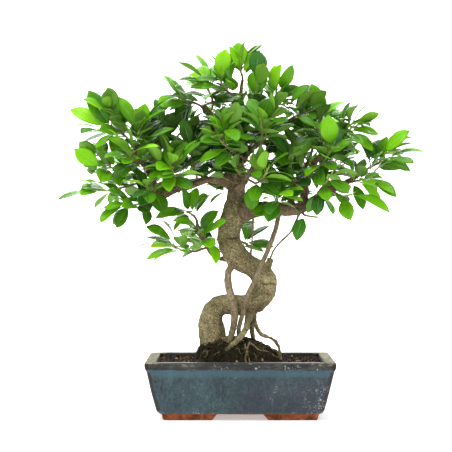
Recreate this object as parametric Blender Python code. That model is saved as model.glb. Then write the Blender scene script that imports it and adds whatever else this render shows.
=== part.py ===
"""A ficus bonsai in a glazed rectangular pot, in metres with +Z up.

The origin lies on the ground under the middle of the pot. +X runs along the pot's length and +Y from its
front face to its back face. The tree is laid out above the soil, so it follows the pot when a size changes.
"""
import math
import random
from collections import namedtuple

import bpy
from mathutils import Quaternion, Vector, noise
from mathutils.bvhtree import BVHTree

# Driving dimensions of the pot
POT_LENGTH = 0.280
POT_DEPTH = 0.200
POT_HEIGHT = 0.0865
BASE_LENGTH = 0.244
BASE_DEPTH = 0.166
RIM_WIDTH = 0.016
WALL = 0.009
FLOOR = 0.010
LIP_HEIGHT = 0.012
LIP_PROUD = 0.0015
CORNER_RADIUS = 0.010
FOOT_HEIGHT = 0.009
FOOT_LENGTH = 0.080
FOOT_SIDE_LENGTH = 0.050
FOOT_WIDTH = 0.016
FOOT_INSET = 0.0075
DRAIN_RADIUS = 0.009
DRAIN_SPACING = 0.116

# Driving dimensions of the soil and the tree
SOIL_DROP = 0.006
MOUND_HEIGHT = 0.034
TREE_HEIGHT = 0.480
TRUNK_GIRTH = 1.0
LEAF_LENGTH = 0.052
LEAF_WIDTH = 0.0255
LEAF_THICKNESS = 0.0014
TWIG_RADIUS = 0.0015

# Clearance between pieces that touch, the room kept round a leaf, and past its tip as a share of its length
GAP = 0.0003
LEAF_ROOM = 0.0006
TIP_ROOM = 0.03

# The tree height and the leaf length for which the lists below are laid out
LAID_OUT_HEIGHT = 0.480
LAID_OUT_LEAF = 0.052

# Worked out from the sizes above
SOIL_TOP = POT_HEIGHT - SOIL_DROP
FLOOR_TOP = FOOT_HEIGHT + FLOOR
TREE_SCALE = TREE_HEIGHT / LAID_OUT_HEIGHT
NET_SIDE = DRAIN_RADIUS * 4.0
NET_THICKNESS = 0.0015

Leaf = namedtuple("Leaf", "reach faces")
Twig = namedtuple("Twig", "nodes frames verts tree")
Shoot = namedtuple("Shoot", "name parent along tip count leaves")

# The way a leaf's upper side looks
FRONT = Vector((0.0, -1.0, 0.25))
UP = Vector((0.0, -0.25, 1.0))
LEFT = Vector((-0.7, -0.6, 0.5))
RIGHT = Vector((0.7, -0.6, 0.5))
EDGE_RIGHT = Vector((0.65, -0.08, 0.75))
EDGE_LEFT = Vector((-0.25, -0.10, 0.95))

# Centre lines of the wood: (x, y, height above the soil, radius), for a tree 0.480 m high
TRUNK_LINE = [
    (-0.036, 0.010, -0.028, 0.0250),
    (-0.037, 0.008, 0.012, 0.0240),
    (-0.0435, 0.004, 0.052, 0.0200),
    (-0.039, 0.000, 0.076, 0.0172),
    (-0.0235, -0.003, 0.0865, 0.0160),
    (-0.006, -0.004, 0.0845, 0.0155),
    (0.0155, -0.002, 0.0865, 0.0155),
    (0.0325, 0.002, 0.0965, 0.0178),
    (0.0380, 0.004, 0.1140, 0.0192),
    (0.0320, 0.004, 0.1330, 0.0180),
    (0.0150, 0.002, 0.1445, 0.0168),
    (-0.0030, 0.000, 0.1570, 0.0185),
    (-0.0140, 0.000, 0.1757, 0.0192),
    (-0.0165, 0.002, 0.1960, 0.0185),
    (-0.0105, 0.003, 0.2210, 0.0178),
    (-0.0060, 0.003, 0.2440, 0.0150),
    (-0.0045, 0.002, 0.2665, 0.0130),
    (-0.0030, 0.002, 0.2900, 0.0108),
    (-0.0030, 0.002, 0.3200, 0.0076),
    (-0.0045, 0.000, 0.3600, 0.0052),
    (0.0005, -0.002, 0.4000, 0.0036),
    (0.0040, -0.004, 0.4250, 0.0024),
]
# Roots that are one with the trunk: they leave its underside or its foot and end in the soil
ROOT_LINES = [
    [(0.017, -0.004, 0.082, 0.0075), (0.012, -0.016, 0.062, 0.0060), (0.006, -0.025, 0.045, 0.0052),
     (-0.005, -0.033, 0.033, 0.0048), (-0.020, -0.040, 0.020, 0.0040), (-0.032, -0.050, -0.006, 0.0028)],
    [(0.018, 0.004, 0.082, 0.0060), (0.018, 0.013, 0.058, 0.0046), (0.020, 0.022, 0.035, 0.0040),
     (0.030, 0.036, 0.006, 0.0034), (0.036, 0.042, -0.010, 0.0026)],
    [(0.020, 0.000, 0.082, 0.0055), (0.023, -0.006, 0.058, 0.0040), (0.032, -0.012, 0.041, 0.0034),
     (0.047, -0.015, 0.036, 0.0030), (0.058, -0.017, 0.024, 0.0028), (0.0625, -0.018, -0.006, 0.0024)],
    [(-0.040, 0.000, 0.034, 0.0120), (-0.052, -0.012, 0.010, 0.0085), (-0.064, -0.022, -0.012, 0.0050)],
    [(-0.034, 0.010, 0.034, 0.0120), (-0.044, 0.030, 0.010, 0.0080), (-0.052, 0.046, -0.012, 0.0045)],
    [(-0.034, 0.002, 0.030, 0.0110), (-0.020, -0.014, 0.024, 0.0085), (-0.008, -0.026, 0.006, 0.0050)],
]
STUB_LINE = [(0.036, 0.004, 0.128, 0.0075), (0.0455, 0.004, 0.1500, 0.0055), (0.0470, 0.004, 0.1560, 0.0048)]

# Branches: (name, the wood it grows from, centre line)
BRANCHES = [
    ("branch_left", "trunk", [
        (-0.004, 0.002, 0.270, 0.0066), (-0.030, 0.000, 0.2745, 0.0062), (-0.053, -0.004, 0.2735, 0.0056),
        (-0.0785, -0.007, 0.2640, 0.0054), (-0.097, -0.008, 0.2600, 0.0058),
        (-0.1150, -0.006, 0.2535, 0.0088),
        (-0.1240, -0.004, 0.2420, 0.0098), (-0.1280, -0.004, 0.2320, 0.0070)]),
    ("branch_right", "trunk", [
        (-0.006, 0.003, 0.2300, 0.0140), (0.0155, 0.003, 0.2290, 0.0132), (0.0450, 0.002, 0.2315, 0.0112),
        (0.0725, 0.000, 0.2290, 0.0104), (0.0940, -0.002, 0.2330, 0.0094), (0.1140, -0.002, 0.2450, 0.0075),
        (0.1360, -0.002, 0.2590, 0.0062), (0.1590, 0.000, 0.2680, 0.0050), (0.1850, 0.002, 0.2860, 0.0034)]),
    ("branch_upper_left", "trunk", [
        (-0.0030, 0.002, 0.322, 0.0054), (-0.018, 0.004, 0.352, 0.0044), (-0.038, 0.005, 0.372, 0.0034),
        (-0.058, 0.004, 0.386, 0.0026)]),
    ("branch_upper_right", "trunk", [
        (-0.0030, 0.002, 0.300, 0.0066), (0.0155, -0.002, 0.3195, 0.0060), (0.0335, -0.006, 0.336, 0.0050),
        (0.0605, -0.010, 0.356, 0.0038), (0.0880, -0.012, 0.370, 0.0027)]),
    ("branch_back", "trunk", [
        (-0.0040, 0.004, 0.280, 0.0058), (0.0020, 0.035, 0.300, 0.0052), (0.0080, 0.068, 0.325, 0.0040),
        (0.0120, 0.100, 0.350, 0.0027)]),
    ("branch_front", "trunk", [
        (-0.0050, 0.000, 0.258, 0.0056), (0.0060, -0.032, 0.270, 0.0048), (0.0180, -0.056, 0.292, 0.0038),
        (0.0280, -0.074, 0.318, 0.0026)]),
    ("branch_low_left", "trunk", [
        (-0.0060, 0.008, 0.162, 0.0048), (-0.030, 0.018, 0.154, 0.0040), (-0.046, 0.016, 0.168, 0.0034),
        (-0.0590, 0.010, 0.190, 0.0030), (-0.0660, 0.004, 0.214, 0.0024)]),
    ("branch_left_rise", "branch_left", [
        (-0.1200, -0.006, 0.248, 0.0052), (-0.1345, -0.012, 0.280, 0.0042), (-0.1500, -0.016, 0.308, 0.0034),
        (-0.1650, -0.015, 0.332, 0.0026)]),
    ("branch_left_back", "branch_left", [
        (-0.1160, -0.004, 0.253, 0.0048), (-0.1120, 0.018, 0.284, 0.0038), (-0.1050, 0.040, 0.316, 0.0031),
        (-0.0990, 0.054, 0.338, 0.0024)]),
    ("branch_right_rise", "branch_right", [
        (0.0940, -0.002, 0.233, 0.0066), (0.1000, -0.009, 0.268, 0.0052), (0.1150, -0.013, 0.303, 0.0042),
        (0.1380, -0.012, 0.334, 0.0029)]),
    ("branch_right_back", "branch_right", [
        (0.0740, 0.000, 0.230, 0.0060), (0.0840, 0.030, 0.256, 0.0048), (0.0980, 0.058, 0.286, 0.0038),
        (0.1120, 0.082, 0.316, 0.0026)]),
]

# Aerial roots: (name, the wood it hangs from, the wood or soil it ends in, centre line)
AERIAL_ROOTS = [
    ("aerial_root_left", "trunk", "soil", [
        (-0.0030, -0.006, 0.154, 0.0062), (-0.0175, -0.019, 0.136, 0.0060),
        (-0.0170, -0.0265, 0.112, 0.0060), (-0.0105, -0.0290, 0.090, 0.0060),
        (-0.0080, -0.0270, 0.068, 0.0056), (-0.0120, -0.0240, 0.045, 0.0050),
        (-0.0200, -0.0220, 0.018, 0.0040)]),
    ("aerial_root_right", "branch_right", "soil", [
        (0.0595, -0.001, 0.229, 0.0044), (0.0540, -0.010, 0.200, 0.0042), (0.0410, -0.018, 0.166, 0.0042),
        (0.0300, -0.0215, 0.142, 0.0040), (0.0205, -0.0225, 0.120, 0.0040), (0.0100, -0.0255, 0.098, 0.0042),
        (0.0045, -0.0260, 0.074, 0.0040), (-0.0020, -0.0150, 0.050, 0.0038),
        (0.0000, -0.0080, 0.020, 0.0034)]),
    ("aerial_root_thin_right", "branch_right", "trunk", [
        (0.0925, -0.004, 0.230, 0.0021), (0.0780, -0.004, 0.197, 0.0019), (0.0640, -0.002, 0.183, 0.0018),
        (0.0500, 0.001, 0.166, 0.0018), (0.0420, 0.004, 0.140, 0.0018)]),
    ("aerial_root_thin_centre", "branch_right", "trunk", [
        (0.0205, 0.003, 0.226, 0.0022), (0.0195, 0.001, 0.200, 0.0019), (0.0180, -0.001, 0.176, 0.0018),
        (0.0150, 0.001, 0.150, 0.0020)]),
]

# Shoots: (name, wood it grows from, share of that wood's length, tip of its twig, leaves that grow by rule,
# leaves that stand out, each by its reach from the twig and the way its upper side looks)
SHOOTS = [
    Shoot("shoot_left_reach", "branch_left_rise", 0.30, (-0.216, -0.018, 0.258), 13,
          [Leaf((-0.062, 0.000, -0.012), UP), Leaf((-0.030, -0.015, -0.030), LEFT)]),
    Shoot("shoot_left_middle", "branch_left_rise", 0.62, (-0.206, -0.030, 0.292), 10,
          [Leaf((-0.043, -0.005, 0.027), LEFT), Leaf((-0.024, -0.010, -0.030), FRONT)]),
    Shoot("shoot_left_high", "branch_left_rise", 1.00, (-0.194, -0.016, 0.352), 7,
          [Leaf((-0.034, -0.010, 0.056), FRONT), Leaf((-0.062, 0.000, 0.030), LEFT),
           Leaf((-0.054, -0.012, -0.022), UP)]),
    Shoot("shoot_left_top_outer", "branch_left_rise", 0.82, (-0.152, -0.026, 0.352), 10,
          [Leaf((-0.030, 0.000, 0.048), FRONT), Leaf((0.010, -0.012, 0.036), FRONT)]),
    Shoot("shoot_left_top", "branch_left_back", 0.70, (-0.118, 0.010, 0.352), 12,
          [Leaf((-0.006, -0.014, 0.040), FRONT)]),
    Shoot("shoot_left_crown_back", "branch_left_back", 1.00, (-0.076, 0.056, 0.362), 15, []),
    Shoot("shoot_left_under", "branch_left", 0.90, (-0.172, -0.030, 0.236), 13,
          [Leaf((-0.038, -0.012, -0.024), LEFT)]),
    Shoot("shoot_left_front", "branch_left", 0.55, (-0.104, -0.066, 0.296), 16, []),
    Shoot("shoot_left_front_outer", "branch_left_rise", 0.50, (-0.166, -0.072, 0.312), 16, []),
    Shoot("shoot_left_front_low", "branch_left", 0.78, (-0.138, -0.066, 0.262), 16, []),
    Shoot("shoot_left_back", "branch_left_back", 0.30, (-0.160, 0.058, 0.296), 16, []),
    Shoot("shoot_left_back_outer", "branch_left_back", 0.55, (-0.134, 0.086, 0.338), 16, []),
    Shoot("shoot_left_inner", "branch_left", 0.34, (-0.074, -0.034, 0.322), 16, []),
    Shoot("shoot_top_left_tip", "trunk", 0.95, (-0.030, -0.014, 0.424), 10,
          [Leaf((0.008, -0.014, 0.046), FRONT), Leaf((-0.034, 0.006, 0.006), UP)]),
    Shoot("shoot_top", "trunk", 1.00, (0.000, -0.002, 0.440), 8,
          [Leaf((-0.004, 0.004, 0.043), FRONT), Leaf((0.030, 0.006, 0.026), UP)]),
    Shoot("shoot_top_right_tip", "trunk", 0.90, (0.026, -0.016, 0.426), 10,
          [Leaf((0.003, -0.012, 0.044), FRONT)]),
    Shoot("shoot_top_right", "branch_upper_right", 0.72, (0.056, -0.004, 0.412), 12,
          [Leaf((0.024, 0.000, 0.038), RIGHT)]),
    Shoot("shoot_top_left", "branch_upper_left", 0.75, (-0.052, -0.008, 0.420), 13,
          [Leaf((-0.034, 0.000, 0.014), UP), Leaf((-0.008, -0.006, 0.032), FRONT)]),
    Shoot("shoot_top_left_outer", "branch_upper_left", 1.00, (-0.092, -0.004, 0.398), 15, []),
    Shoot("shoot_top_back", "branch_back", 1.00, (0.020, 0.092, 0.394), 15, []),
    Shoot("shoot_centre_back", "branch_back", 0.40, (-0.044, 0.060, 0.318), 16, []),
    Shoot("shoot_top_front", "branch_front", 1.00, (0.030, -0.086, 0.360), 16, []),
    Shoot("shoot_centre_front", "branch_front", 0.72, (-0.034, -0.092, 0.336), 16, []),
    Shoot("shoot_centre_front_low", "branch_front", 0.40, (0.040, -0.088, 0.288), 15, []),
    Shoot("shoot_right_reach", "branch_right", 1.00, (0.222, -0.004, 0.306), 10,
          [Leaf((0.058, 0.000, 0.014), UP), Leaf((0.040, -0.012, -0.010), UP)]),
    Shoot("shoot_right_low", "branch_right", 0.88, (0.196, -0.036, 0.278), 13,
          [Leaf((0.034, -0.012, -0.022), RIGHT)]),
    Shoot("shoot_right_droop", "branch_right", 0.76, (0.166, -0.044, 0.252), 10,
          [Leaf((0.056, -0.012, -0.026), RIGHT), Leaf((0.034, 0.006, -0.036), RIGHT)]),
    Shoot("shoot_right_hanging", "branch_right", 0.46, (0.110, -0.016, 0.208), 1,
          [Leaf((0.050, -0.004, -0.056), EDGE_RIGHT), Leaf((0.004, -0.006, -0.032), EDGE_RIGHT),
           Leaf((0.012, 0.000, 0.030), RIGHT)]),
    Shoot("shoot_right_outer", "branch_right_rise", 1.00, (0.166, -0.014, 0.350), 13,
          [Leaf((0.046, 0.002, 0.012), UP)]),
    Shoot("shoot_right_top", "branch_right_rise", 0.74, (0.126, -0.006, 0.374), 15, []),
    Shoot("shoot_right_crown", "branch_upper_right", 1.00, (0.108, -0.010, 0.378), 15, []),
    Shoot("shoot_right_front_outer", "branch_right_rise", 0.50, (0.136, -0.074, 0.322), 15,
          [Leaf((-0.006, -0.012, 0.046), FRONT)]),
    Shoot("shoot_right_front", "branch_right", 0.62, (0.136, -0.068, 0.284), 16, []),
    Shoot("shoot_right_front_low", "branch_right", 0.30, (0.056, -0.064, 0.256), 16, []),
    Shoot("shoot_right_middle", "branch_right_rise", 0.26, (0.074, -0.052, 0.306), 16, []),
    Shoot("shoot_right_back", "branch_right_back", 1.00, (0.118, 0.084, 0.352), 15, []),
    Shoot("shoot_right_back_outer", "branch_right_back", 0.58, (0.156, 0.068, 0.312), 16, []),
    Shoot("shoot_low_left", "branch_low_left", 1.00, (-0.080, -0.004, 0.226), 12,
          [Leaf((-0.014, -0.008, 0.046), FRONT), Leaf((-0.040, -0.004, 0.020), FRONT)]),
    Shoot("shoot_low_left_outer", "branch_low_left", 0.55, (-0.104, -0.004, 0.176), 8,
          [Leaf((-0.058, -0.004, -0.004), EDGE_LEFT), Leaf((-0.020, -0.006, -0.012), EDGE_LEFT)]),
    Shoot("shoot_low_left_inner", "branch_low_left", 0.66, (-0.060, -0.018, 0.198), 15,
          [Leaf((0.026, -0.008, 0.030), LEFT)]),
]

# Corners of each section, and how uneven the wood is
TRUNK_SIDES = 11
BRANCH_SIDES = 7
ROOT_SIDES = 6
STUB_SIDES = 8
TWIG_SIDES = 4
TRUNK_LUMPS = 0.16
BRANCH_LUMPS = 0.12
ROOT_LUMPS = 0.12
AERIAL_LUMPS = 0.10
STUB_LUMPS = 0.10
LUMPS_PER_METRE = 55.0

# Where a twig's nodes lie, as shares of its length, how long each is, and how far each turns from the last
FIRST_NODE = 0.30
NODE_RUN = 0.66
NODE_HALF = 0.0012
NODE_TURN = 0.9
TWIG_TRIES = 40
TWIG_DRIFT = 0.0012

# A leaf's sections: share of its length, half-width and half-thickness as shares of its own
LEAF_SECTIONS = ((0.42, 0.46, 0.5), (0.72, 0.42, 0.42))
LEAF_ARCH = 0.06
LEAF_FOLD = 0.05
LEAF_TRIES = 14
FEATURE_WIDTH = 1.12

WALL_BELLY = 0.0012
FLOOR_CORNER = 0.003
WOOD_COLOUR = (0.23, 0.19, 0.13)
ROOT_COLOUR = (0.30, 0.23, 0.15)
LEAF_COLOURS = [(0.05, 0.20, 0.03), (0.09, 0.32, 0.03), (0.16, 0.45, 0.05), (0.06, 0.26, 0.04)]

wood_lines = {}
wood_trees = {}
placed_trees = []


def clear_scene():
    """Removes every object that the file opened with."""
    for thing in list(bpy.data.objects):
        bpy.data.objects.remove(thing, do_unlink=True)


def make_material(name, colour, roughness, metallic=0.0):
    """Makes a plain Principled material."""
    material = bpy.data.materials.new(name)
    material.use_nodes = True
    shader = material.node_tree.nodes["Principled BSDF"]
    shader.inputs["Base Color"].default_value = (*colour, 1.0)
    shader.inputs["Roughness"].default_value = roughness
    shader.inputs["Metallic"].default_value = metallic
    return material


def make_object(name, verts, faces, material=None):
    """Makes a mesh object from its points and faces."""
    mesh = bpy.data.meshes.new(name)
    mesh.from_pydata([tuple(point) for point in verts], [], faces)
    mesh.update()
    body = bpy.data.objects.new(name, mesh)
    bpy.context.scene.collection.objects.link(body)
    if material is not None:
        mesh.materials.append(material)
    return body


def combine(target, other, operation):
    """Applies a Boolean of target with other, then drops other."""
    modifier = target.modifiers.new("shape", "BOOLEAN")
    modifier.operation = operation
    modifier.solver = "EXACT"
    modifier.object = other
    depsgraph = bpy.context.evaluated_depsgraph_get()
    mesh = bpy.data.meshes.new_from_object(target.evaluated_get(depsgraph))
    target.modifiers.clear()
    target.data = mesh
    bpy.data.objects.remove(other, do_unlink=True)


def on_tree(point):
    """Turns a place laid out above the soil into scene coordinates."""
    x, y, height = point[:3]
    return Vector((x * TREE_SCALE, y * TREE_SCALE, SOIL_TOP + height * TREE_SCALE))


def rounded_rectangle(half_x, half_y, radius, z, per_corner=5):
    """Points of a rounded rectangle at height z, counter-clockwise."""
    points = []
    for corner, (sign_x, sign_y) in enumerate([(1, 1), (-1, 1), (-1, -1), (1, -1)]):
        centre_x = sign_x * (half_x - radius)
        centre_y = sign_y * (half_y - radius)
        for step in range(per_corner):
            angle = math.radians(90.0 * (corner + step / (per_corner - 1)))
            x = centre_x + radius * math.cos(angle)
            y = centre_y + radius * math.sin(angle)
            points.append(Vector((x, y, z)))
    return points


def halves(corners):
    """The two triangles of a four-cornered face, always cut the same way."""
    return [corners[:3], [corners[0]] + corners[2:]]


def stack_rings(rings, split=False):
    """Joins rings of equal length into a closed skin: the first faces down and the last faces up."""
    size = len(rings[0])
    verts = [point for ring in rings for point in ring]
    faces = [list(reversed(range(size)))]
    for level in range(len(rings) - 1):
        low = level * size
        for index in range(size):
            following = (index + 1) % size
            corners = [low + index, low + following, low + size + following, low + size + index]
            faces.extend(halves(corners) if split else [corners])
    faces.append([(len(rings) - 1) * size + index for index in range(size)])
    return verts, faces


def wall_half(size_top, size_base, z):
    """Half the pot's outer size at height z, between its base and its rim."""
    share = (z - FOOT_HEIGHT) / (POT_HEIGHT - FOOT_HEIGHT)
    belly = WALL_BELLY * math.sin(math.pi * min(max(share, 0.0), 1.0))
    return 0.5 * (size_base + (size_top - size_base) * share) + belly


def pot_ring(z, inset, radius):
    """An outline of the pot's wall at height z, moved inwards by inset."""
    half_x = wall_half(POT_LENGTH, BASE_LENGTH, z) - inset
    half_y = wall_half(POT_DEPTH, BASE_DEPTH, z) - inset
    return rounded_rectangle(half_x, half_y, radius, z)


def inner_ring(z, clearance=0.0):
    """An outline of the pot's inside at height z, for the wall or for what fills it."""
    share = (z - FLOOR_TOP) / (POT_HEIGHT - FLOOR_TOP)
    inset = WALL + (RIM_WIDTH - WALL) * share + clearance
    return pot_ring(z, inset, max(CORNER_RADIUS - WALL * 0.5, 0.004))


def floor_ring(clearance):
    """The outline where the pot's floor meets its rounded inside corner."""
    ring = inner_ring(FLOOR_TOP + FLOOR_CORNER, FLOOR_CORNER + clearance)
    return [point + Vector((0.0, 0.0, clearance - FLOOR_CORNER)) for point in ring]


def foot_prism(sign_x, sign_y):
    """One corner foot: an L on the ground whose two ends run up in a curve."""
    outer_x = BASE_LENGTH / 2 - FOOT_INSET
    outer_y = BASE_DEPTH / 2 - FOOT_INSET
    edge_cut = FOOT_HEIGHT / 6.0
    end_cut = FOOT_HEIGHT / 1.5
    levels = [
        (0.0, end_cut), (FOOT_HEIGHT * 0.35, end_cut * 0.75), (FOOT_HEIGHT * 0.75, end_cut / 6.0),
        (FOOT_HEIGHT + FLOOR * 0.4, 0.0),
    ]
    rings = []
    for z, shrink in levels:
        edge = edge_cut if z == 0.0 else 0.0
        outline = [
            (outer_x - edge, outer_y - edge), (outer_x - FOOT_LENGTH + shrink, outer_y - edge),
            (outer_x - FOOT_LENGTH + shrink, outer_y - FOOT_WIDTH),
            (outer_x - FOOT_WIDTH, outer_y - FOOT_WIDTH),
            (outer_x - FOOT_WIDTH, outer_y - FOOT_SIDE_LENGTH + shrink),
            (outer_x - edge, outer_y - FOOT_SIDE_LENGTH + shrink),
        ]
        ring = [Vector((sign_x * x, sign_y * y, z)) for x, y in outline]
        rings.append(ring if sign_x * sign_y > 0 else list(reversed(ring)))
    verts, faces = stack_rings(rings)
    return make_object("foot_tool", verts, faces)


def cylinder(name, radius, x, low, high, sides=24):
    """An upright cylinder on the pot's long centre line."""
    rings = []
    for z in (low, high):
        angles = [2.0 * math.pi * step / sides for step in range(sides)]
        rings.append([Vector((x + radius * math.cos(a), radius * math.sin(a), z)) for a in angles])
    verts, faces = stack_rings(rings)
    return make_object(name, verts, faces)


def box(name, size, centre, material=None):
    """A box by its full size and its centre."""
    half = Vector(size) / 2.0
    corners = [(-half.x, -half.y), (half.x, -half.y), (half.x, half.y), (-half.x, half.y)]
    rings = [[Vector((x, y, z)) + Vector(centre) for x, y in corners] for z in (-half.z, half.z)]
    verts, faces = stack_rings(rings)
    return make_object(name, verts, faces, material)


def build_pot():
    """The fired pot: tapering walls, a lip band, a floor with two drain holes, and four corner feet."""
    lip_low = POT_HEIGHT - LIP_HEIGHT
    rings = [
        pot_ring(FOOT_HEIGHT, 0.005, CORNER_RADIUS - 0.002),
        pot_ring(FOOT_HEIGHT + 0.0018, 0.0016, CORNER_RADIUS),
        pot_ring(FOOT_HEIGHT + 0.006, 0.0, CORNER_RADIUS),
        pot_ring(FOOT_HEIGHT + 0.030, 0.0, CORNER_RADIUS),
        pot_ring(lip_low - 0.001, 0.0, CORNER_RADIUS),
        pot_ring(lip_low, -LIP_PROUD * 0.7, CORNER_RADIUS),
        pot_ring(lip_low + 0.003, -LIP_PROUD, CORNER_RADIUS),
        pot_ring(POT_HEIGHT - 0.0022, -LIP_PROUD * 0.6, CORNER_RADIUS),
        pot_ring(POT_HEIGHT - 0.0006, 0.0010, CORNER_RADIUS - 0.001),
        pot_ring(POT_HEIGHT, 0.0032, CORNER_RADIUS - 0.002),
        inner_ring(POT_HEIGHT),
        inner_ring(FLOOR_TOP + FLOOR_CORNER),
        floor_ring(0.0),
    ]
    verts, faces = stack_rings(rings)
    pot = make_object("pot", verts, faces, make_material("pot", (0.05, 0.10, 0.15), 0.25))
    for sign_x in (-1, 1):
        for sign_y in (-1, 1):
            combine(pot, foot_prism(sign_x, sign_y), "UNION")
        hole = cylinder("drain_tool", DRAIN_RADIUS, sign_x * DRAIN_SPACING / 2, -FLOOR, FLOOR_TOP + FLOOR)
        combine(pot, hole, "DIFFERENCE")
    return pot


def build_net(name, x):
    """A plastic net that lies over a drain hole and keeps the soil in."""
    z = FLOOR_TOP + GAP + NET_THICKNESS / 2
    material = make_material(name, (0.02, 0.02, 0.02), 0.6)
    net = box(name, (NET_SIDE, NET_SIDE, NET_THICKNESS), (x, 0.0, z), material)
    pitch = NET_SIDE / 5.0
    for row in range(-1, 2):
        slot = box("slot_tool", (NET_SIDE * 0.8, pitch * 0.55, NET_THICKNESS * 3.0), (x, row * pitch, z))
        combine(net, slot, "DIFFERENCE")
    return net


def soil_height(x, y):
    """Height of the soil's surface above SOIL_TOP: a mound round the roots, and a fine unevenness."""
    offset = Vector(((x / TREE_SCALE - 0.004) / 0.036, (y / TREE_SCALE + 0.002) / 0.042))
    mound = MOUND_HEIGHT * math.exp(-offset.length_squared ** 1.15)
    rough = 0.0012 * noise.noise(Vector((x, y, 0.0)) * 90.0)
    return mound + rough


def build_soil():
    """The soil: it fills the pot, rises in a mound under the roots, and leaves room for the drain nets."""
    edge = inner_ring(SOIL_TOP, GAP)
    rings = [floor_ring(GAP), inner_ring(FLOOR_TOP + FLOOR_CORNER, GAP), edge]
    steps = 13
    rounding = POT_DEPTH * 0.45
    for step in range(1, steps):
        share = 1.0 - step / steps
        ring = []
        for index, corner in enumerate(edge):
            angle = 2 * math.pi * (index + 0.5) / len(edge)
            rounded = Vector((math.cos(angle) * rounding, math.sin(angle) * rounding))
            flat = Vector((corner.x, corner.y)).lerp(rounded, (1.0 - share) ** 0.7) * share
            ring.append(Vector((flat.x, flat.y, SOIL_TOP + soil_height(flat.x, flat.y))))
        rings.append(ring)
    verts, faces = stack_rings(rings)
    soil = make_object("soil", verts, faces, make_material("soil", (0.05, 0.03, 0.015), 0.95))
    for sign in (-1, 1):
        room = NET_SIDE + 2 * GAP
        height = 2 * (NET_THICKNESS + 2 * GAP)
        pocket = box("pocket_tool", (room, room, height), (sign * DRAIN_SPACING / 2, 0.0, FLOOR_TOP))
        combine(soil, pocket, "DIFFERENCE")
    return soil


def smooth_line(line, per_span, forward=1.0):
    """Points and radii of a smooth curve through a centre line's points; forward stretches its depth."""
    knots = []
    for x, y, height, radius in line:
        knots.append((on_tree((x, y * forward, height)), radius * TREE_SCALE * TRUNK_GIRTH))
    knots = [knots[0]] + knots + [knots[-1]]
    stations = []
    for index in range(1, len(knots) - 2):
        (a, ra), (b, rb), (c, rc), (d, rd) = knots[index - 1:index + 3]
        for step in range(per_span):
            t = step / per_span
            place = 0.5 * (2 * b + (c - a) * t + (2 * a - 5 * b + 4 * c - d) * t * t
                           + (3 * b - a - 3 * c + d) * t ** 3)
            stations.append((place, rb + (rc - rb) * t))
    stations.append(knots[-2])
    return stations


def carry_frames(places, first=None):
    """A tangent and a side direction at each place of a curve, with no twist between them."""
    frames = []
    side = None
    for index, place in enumerate(places):
        ahead = places[min(index + 1, len(places) - 1)]
        behind = places[max(index - 1, 0)]
        tangent = (ahead - behind).normalized()
        if index == 0 and first is not None:
            tangent = first
        if side is None:
            side = tangent.orthogonal().normalized()
        else:
            side = (frames[-1][0].rotation_difference(tangent) @ side).normalized()
        frames.append((tangent, side))
    return frames


def sweep(name, stations, sides, lumps=0.0, grow=0.0, material=None):
    """A solid swept along a curve, with a slightly lumpy round section; grow thickens it all over."""
    places = [place for place, radius in stations]
    rings = []
    frames = carry_frames(places)
    for index, ((place, radius), (tangent, side)) in enumerate(zip(stations, frames)):
        across = tangent.cross(side)
        shift = 0.0
        if index == 0:
            shift = -grow
        if index == len(stations) - 1:
            shift = grow
        ring = []
        for step in range(sides):
            angle = 2.0 * math.pi * step / sides
            out = side * math.cos(angle) + across * math.sin(angle)
            bump = 1.0 + lumps * noise.noise((place + out * radius) * LUMPS_PER_METRE)
            ring.append(place + tangent * shift + out * (radius * bump + grow / math.cos(math.pi / sides)))
        rings.append(ring)
    verts, faces = stack_rings(rings, split=True)
    return make_object(name, verts, faces, material)


def remember(body):
    """Keeps a body's surface, so that later pieces stay clear of it."""
    mesh = body.data
    tree = BVHTree.FromPolygons([v.co for v in mesh.vertices], [p.vertices for p in mesh.polygons])
    wood_trees[body.name] = tree
    placed_trees.append(tree)


def trunk_solid(name, grow=0.0, material=None):
    """The trunk with the roots that are one with it, and its cut stub."""
    trunk = sweep(name, smooth_line(TRUNK_LINE, 2), TRUNK_SIDES, TRUNK_LUMPS, grow, material)
    for line in ROOT_LINES:
        combine(trunk, sweep("root_tool", smooth_line(line, 2), ROOT_SIDES, ROOT_LUMPS, grow), "UNION")
    combine(trunk, sweep("stub_tool", smooth_line(STUB_LINE, 1), STUB_SIDES, STUB_LUMPS, grow), "UNION")
    return trunk


def wood_solid(name, grow=0.0):
    """The trunk or a branch, grown a little, as a tool to cut its neighbour with."""
    if name == "trunk":
        return trunk_solid("wood_tool", grow)
    return sweep("wood_tool", wood_lines[name], BRANCH_SIDES, BRANCH_LUMPS, grow)


def build_trunk():
    """The trunk: its foot is set into the soil, which is cut away round it."""
    trunk = trunk_solid("trunk", 0.0, make_material("trunk", WOOD_COLOUR, 0.85))
    wood_lines["trunk"] = smooth_line(TRUNK_LINE, 2)
    combine(bpy.data.objects["soil"], trunk_solid("socket_tool", GAP), "DIFFERENCE")
    remember(trunk)
    return trunk


def build_branch(name, parent, line):
    """A branch whose foot is shaped to the wood that it grows from."""
    wood_lines[name] = smooth_line(line, 2)
    material = make_material(name, WOOD_COLOUR, 0.85)
    branch = sweep(name, wood_lines[name], BRANCH_SIDES, BRANCH_LUMPS, 0.0, material)
    combine(branch, wood_solid(parent, GAP), "DIFFERENCE")
    remember(branch)
    return branch


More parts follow.
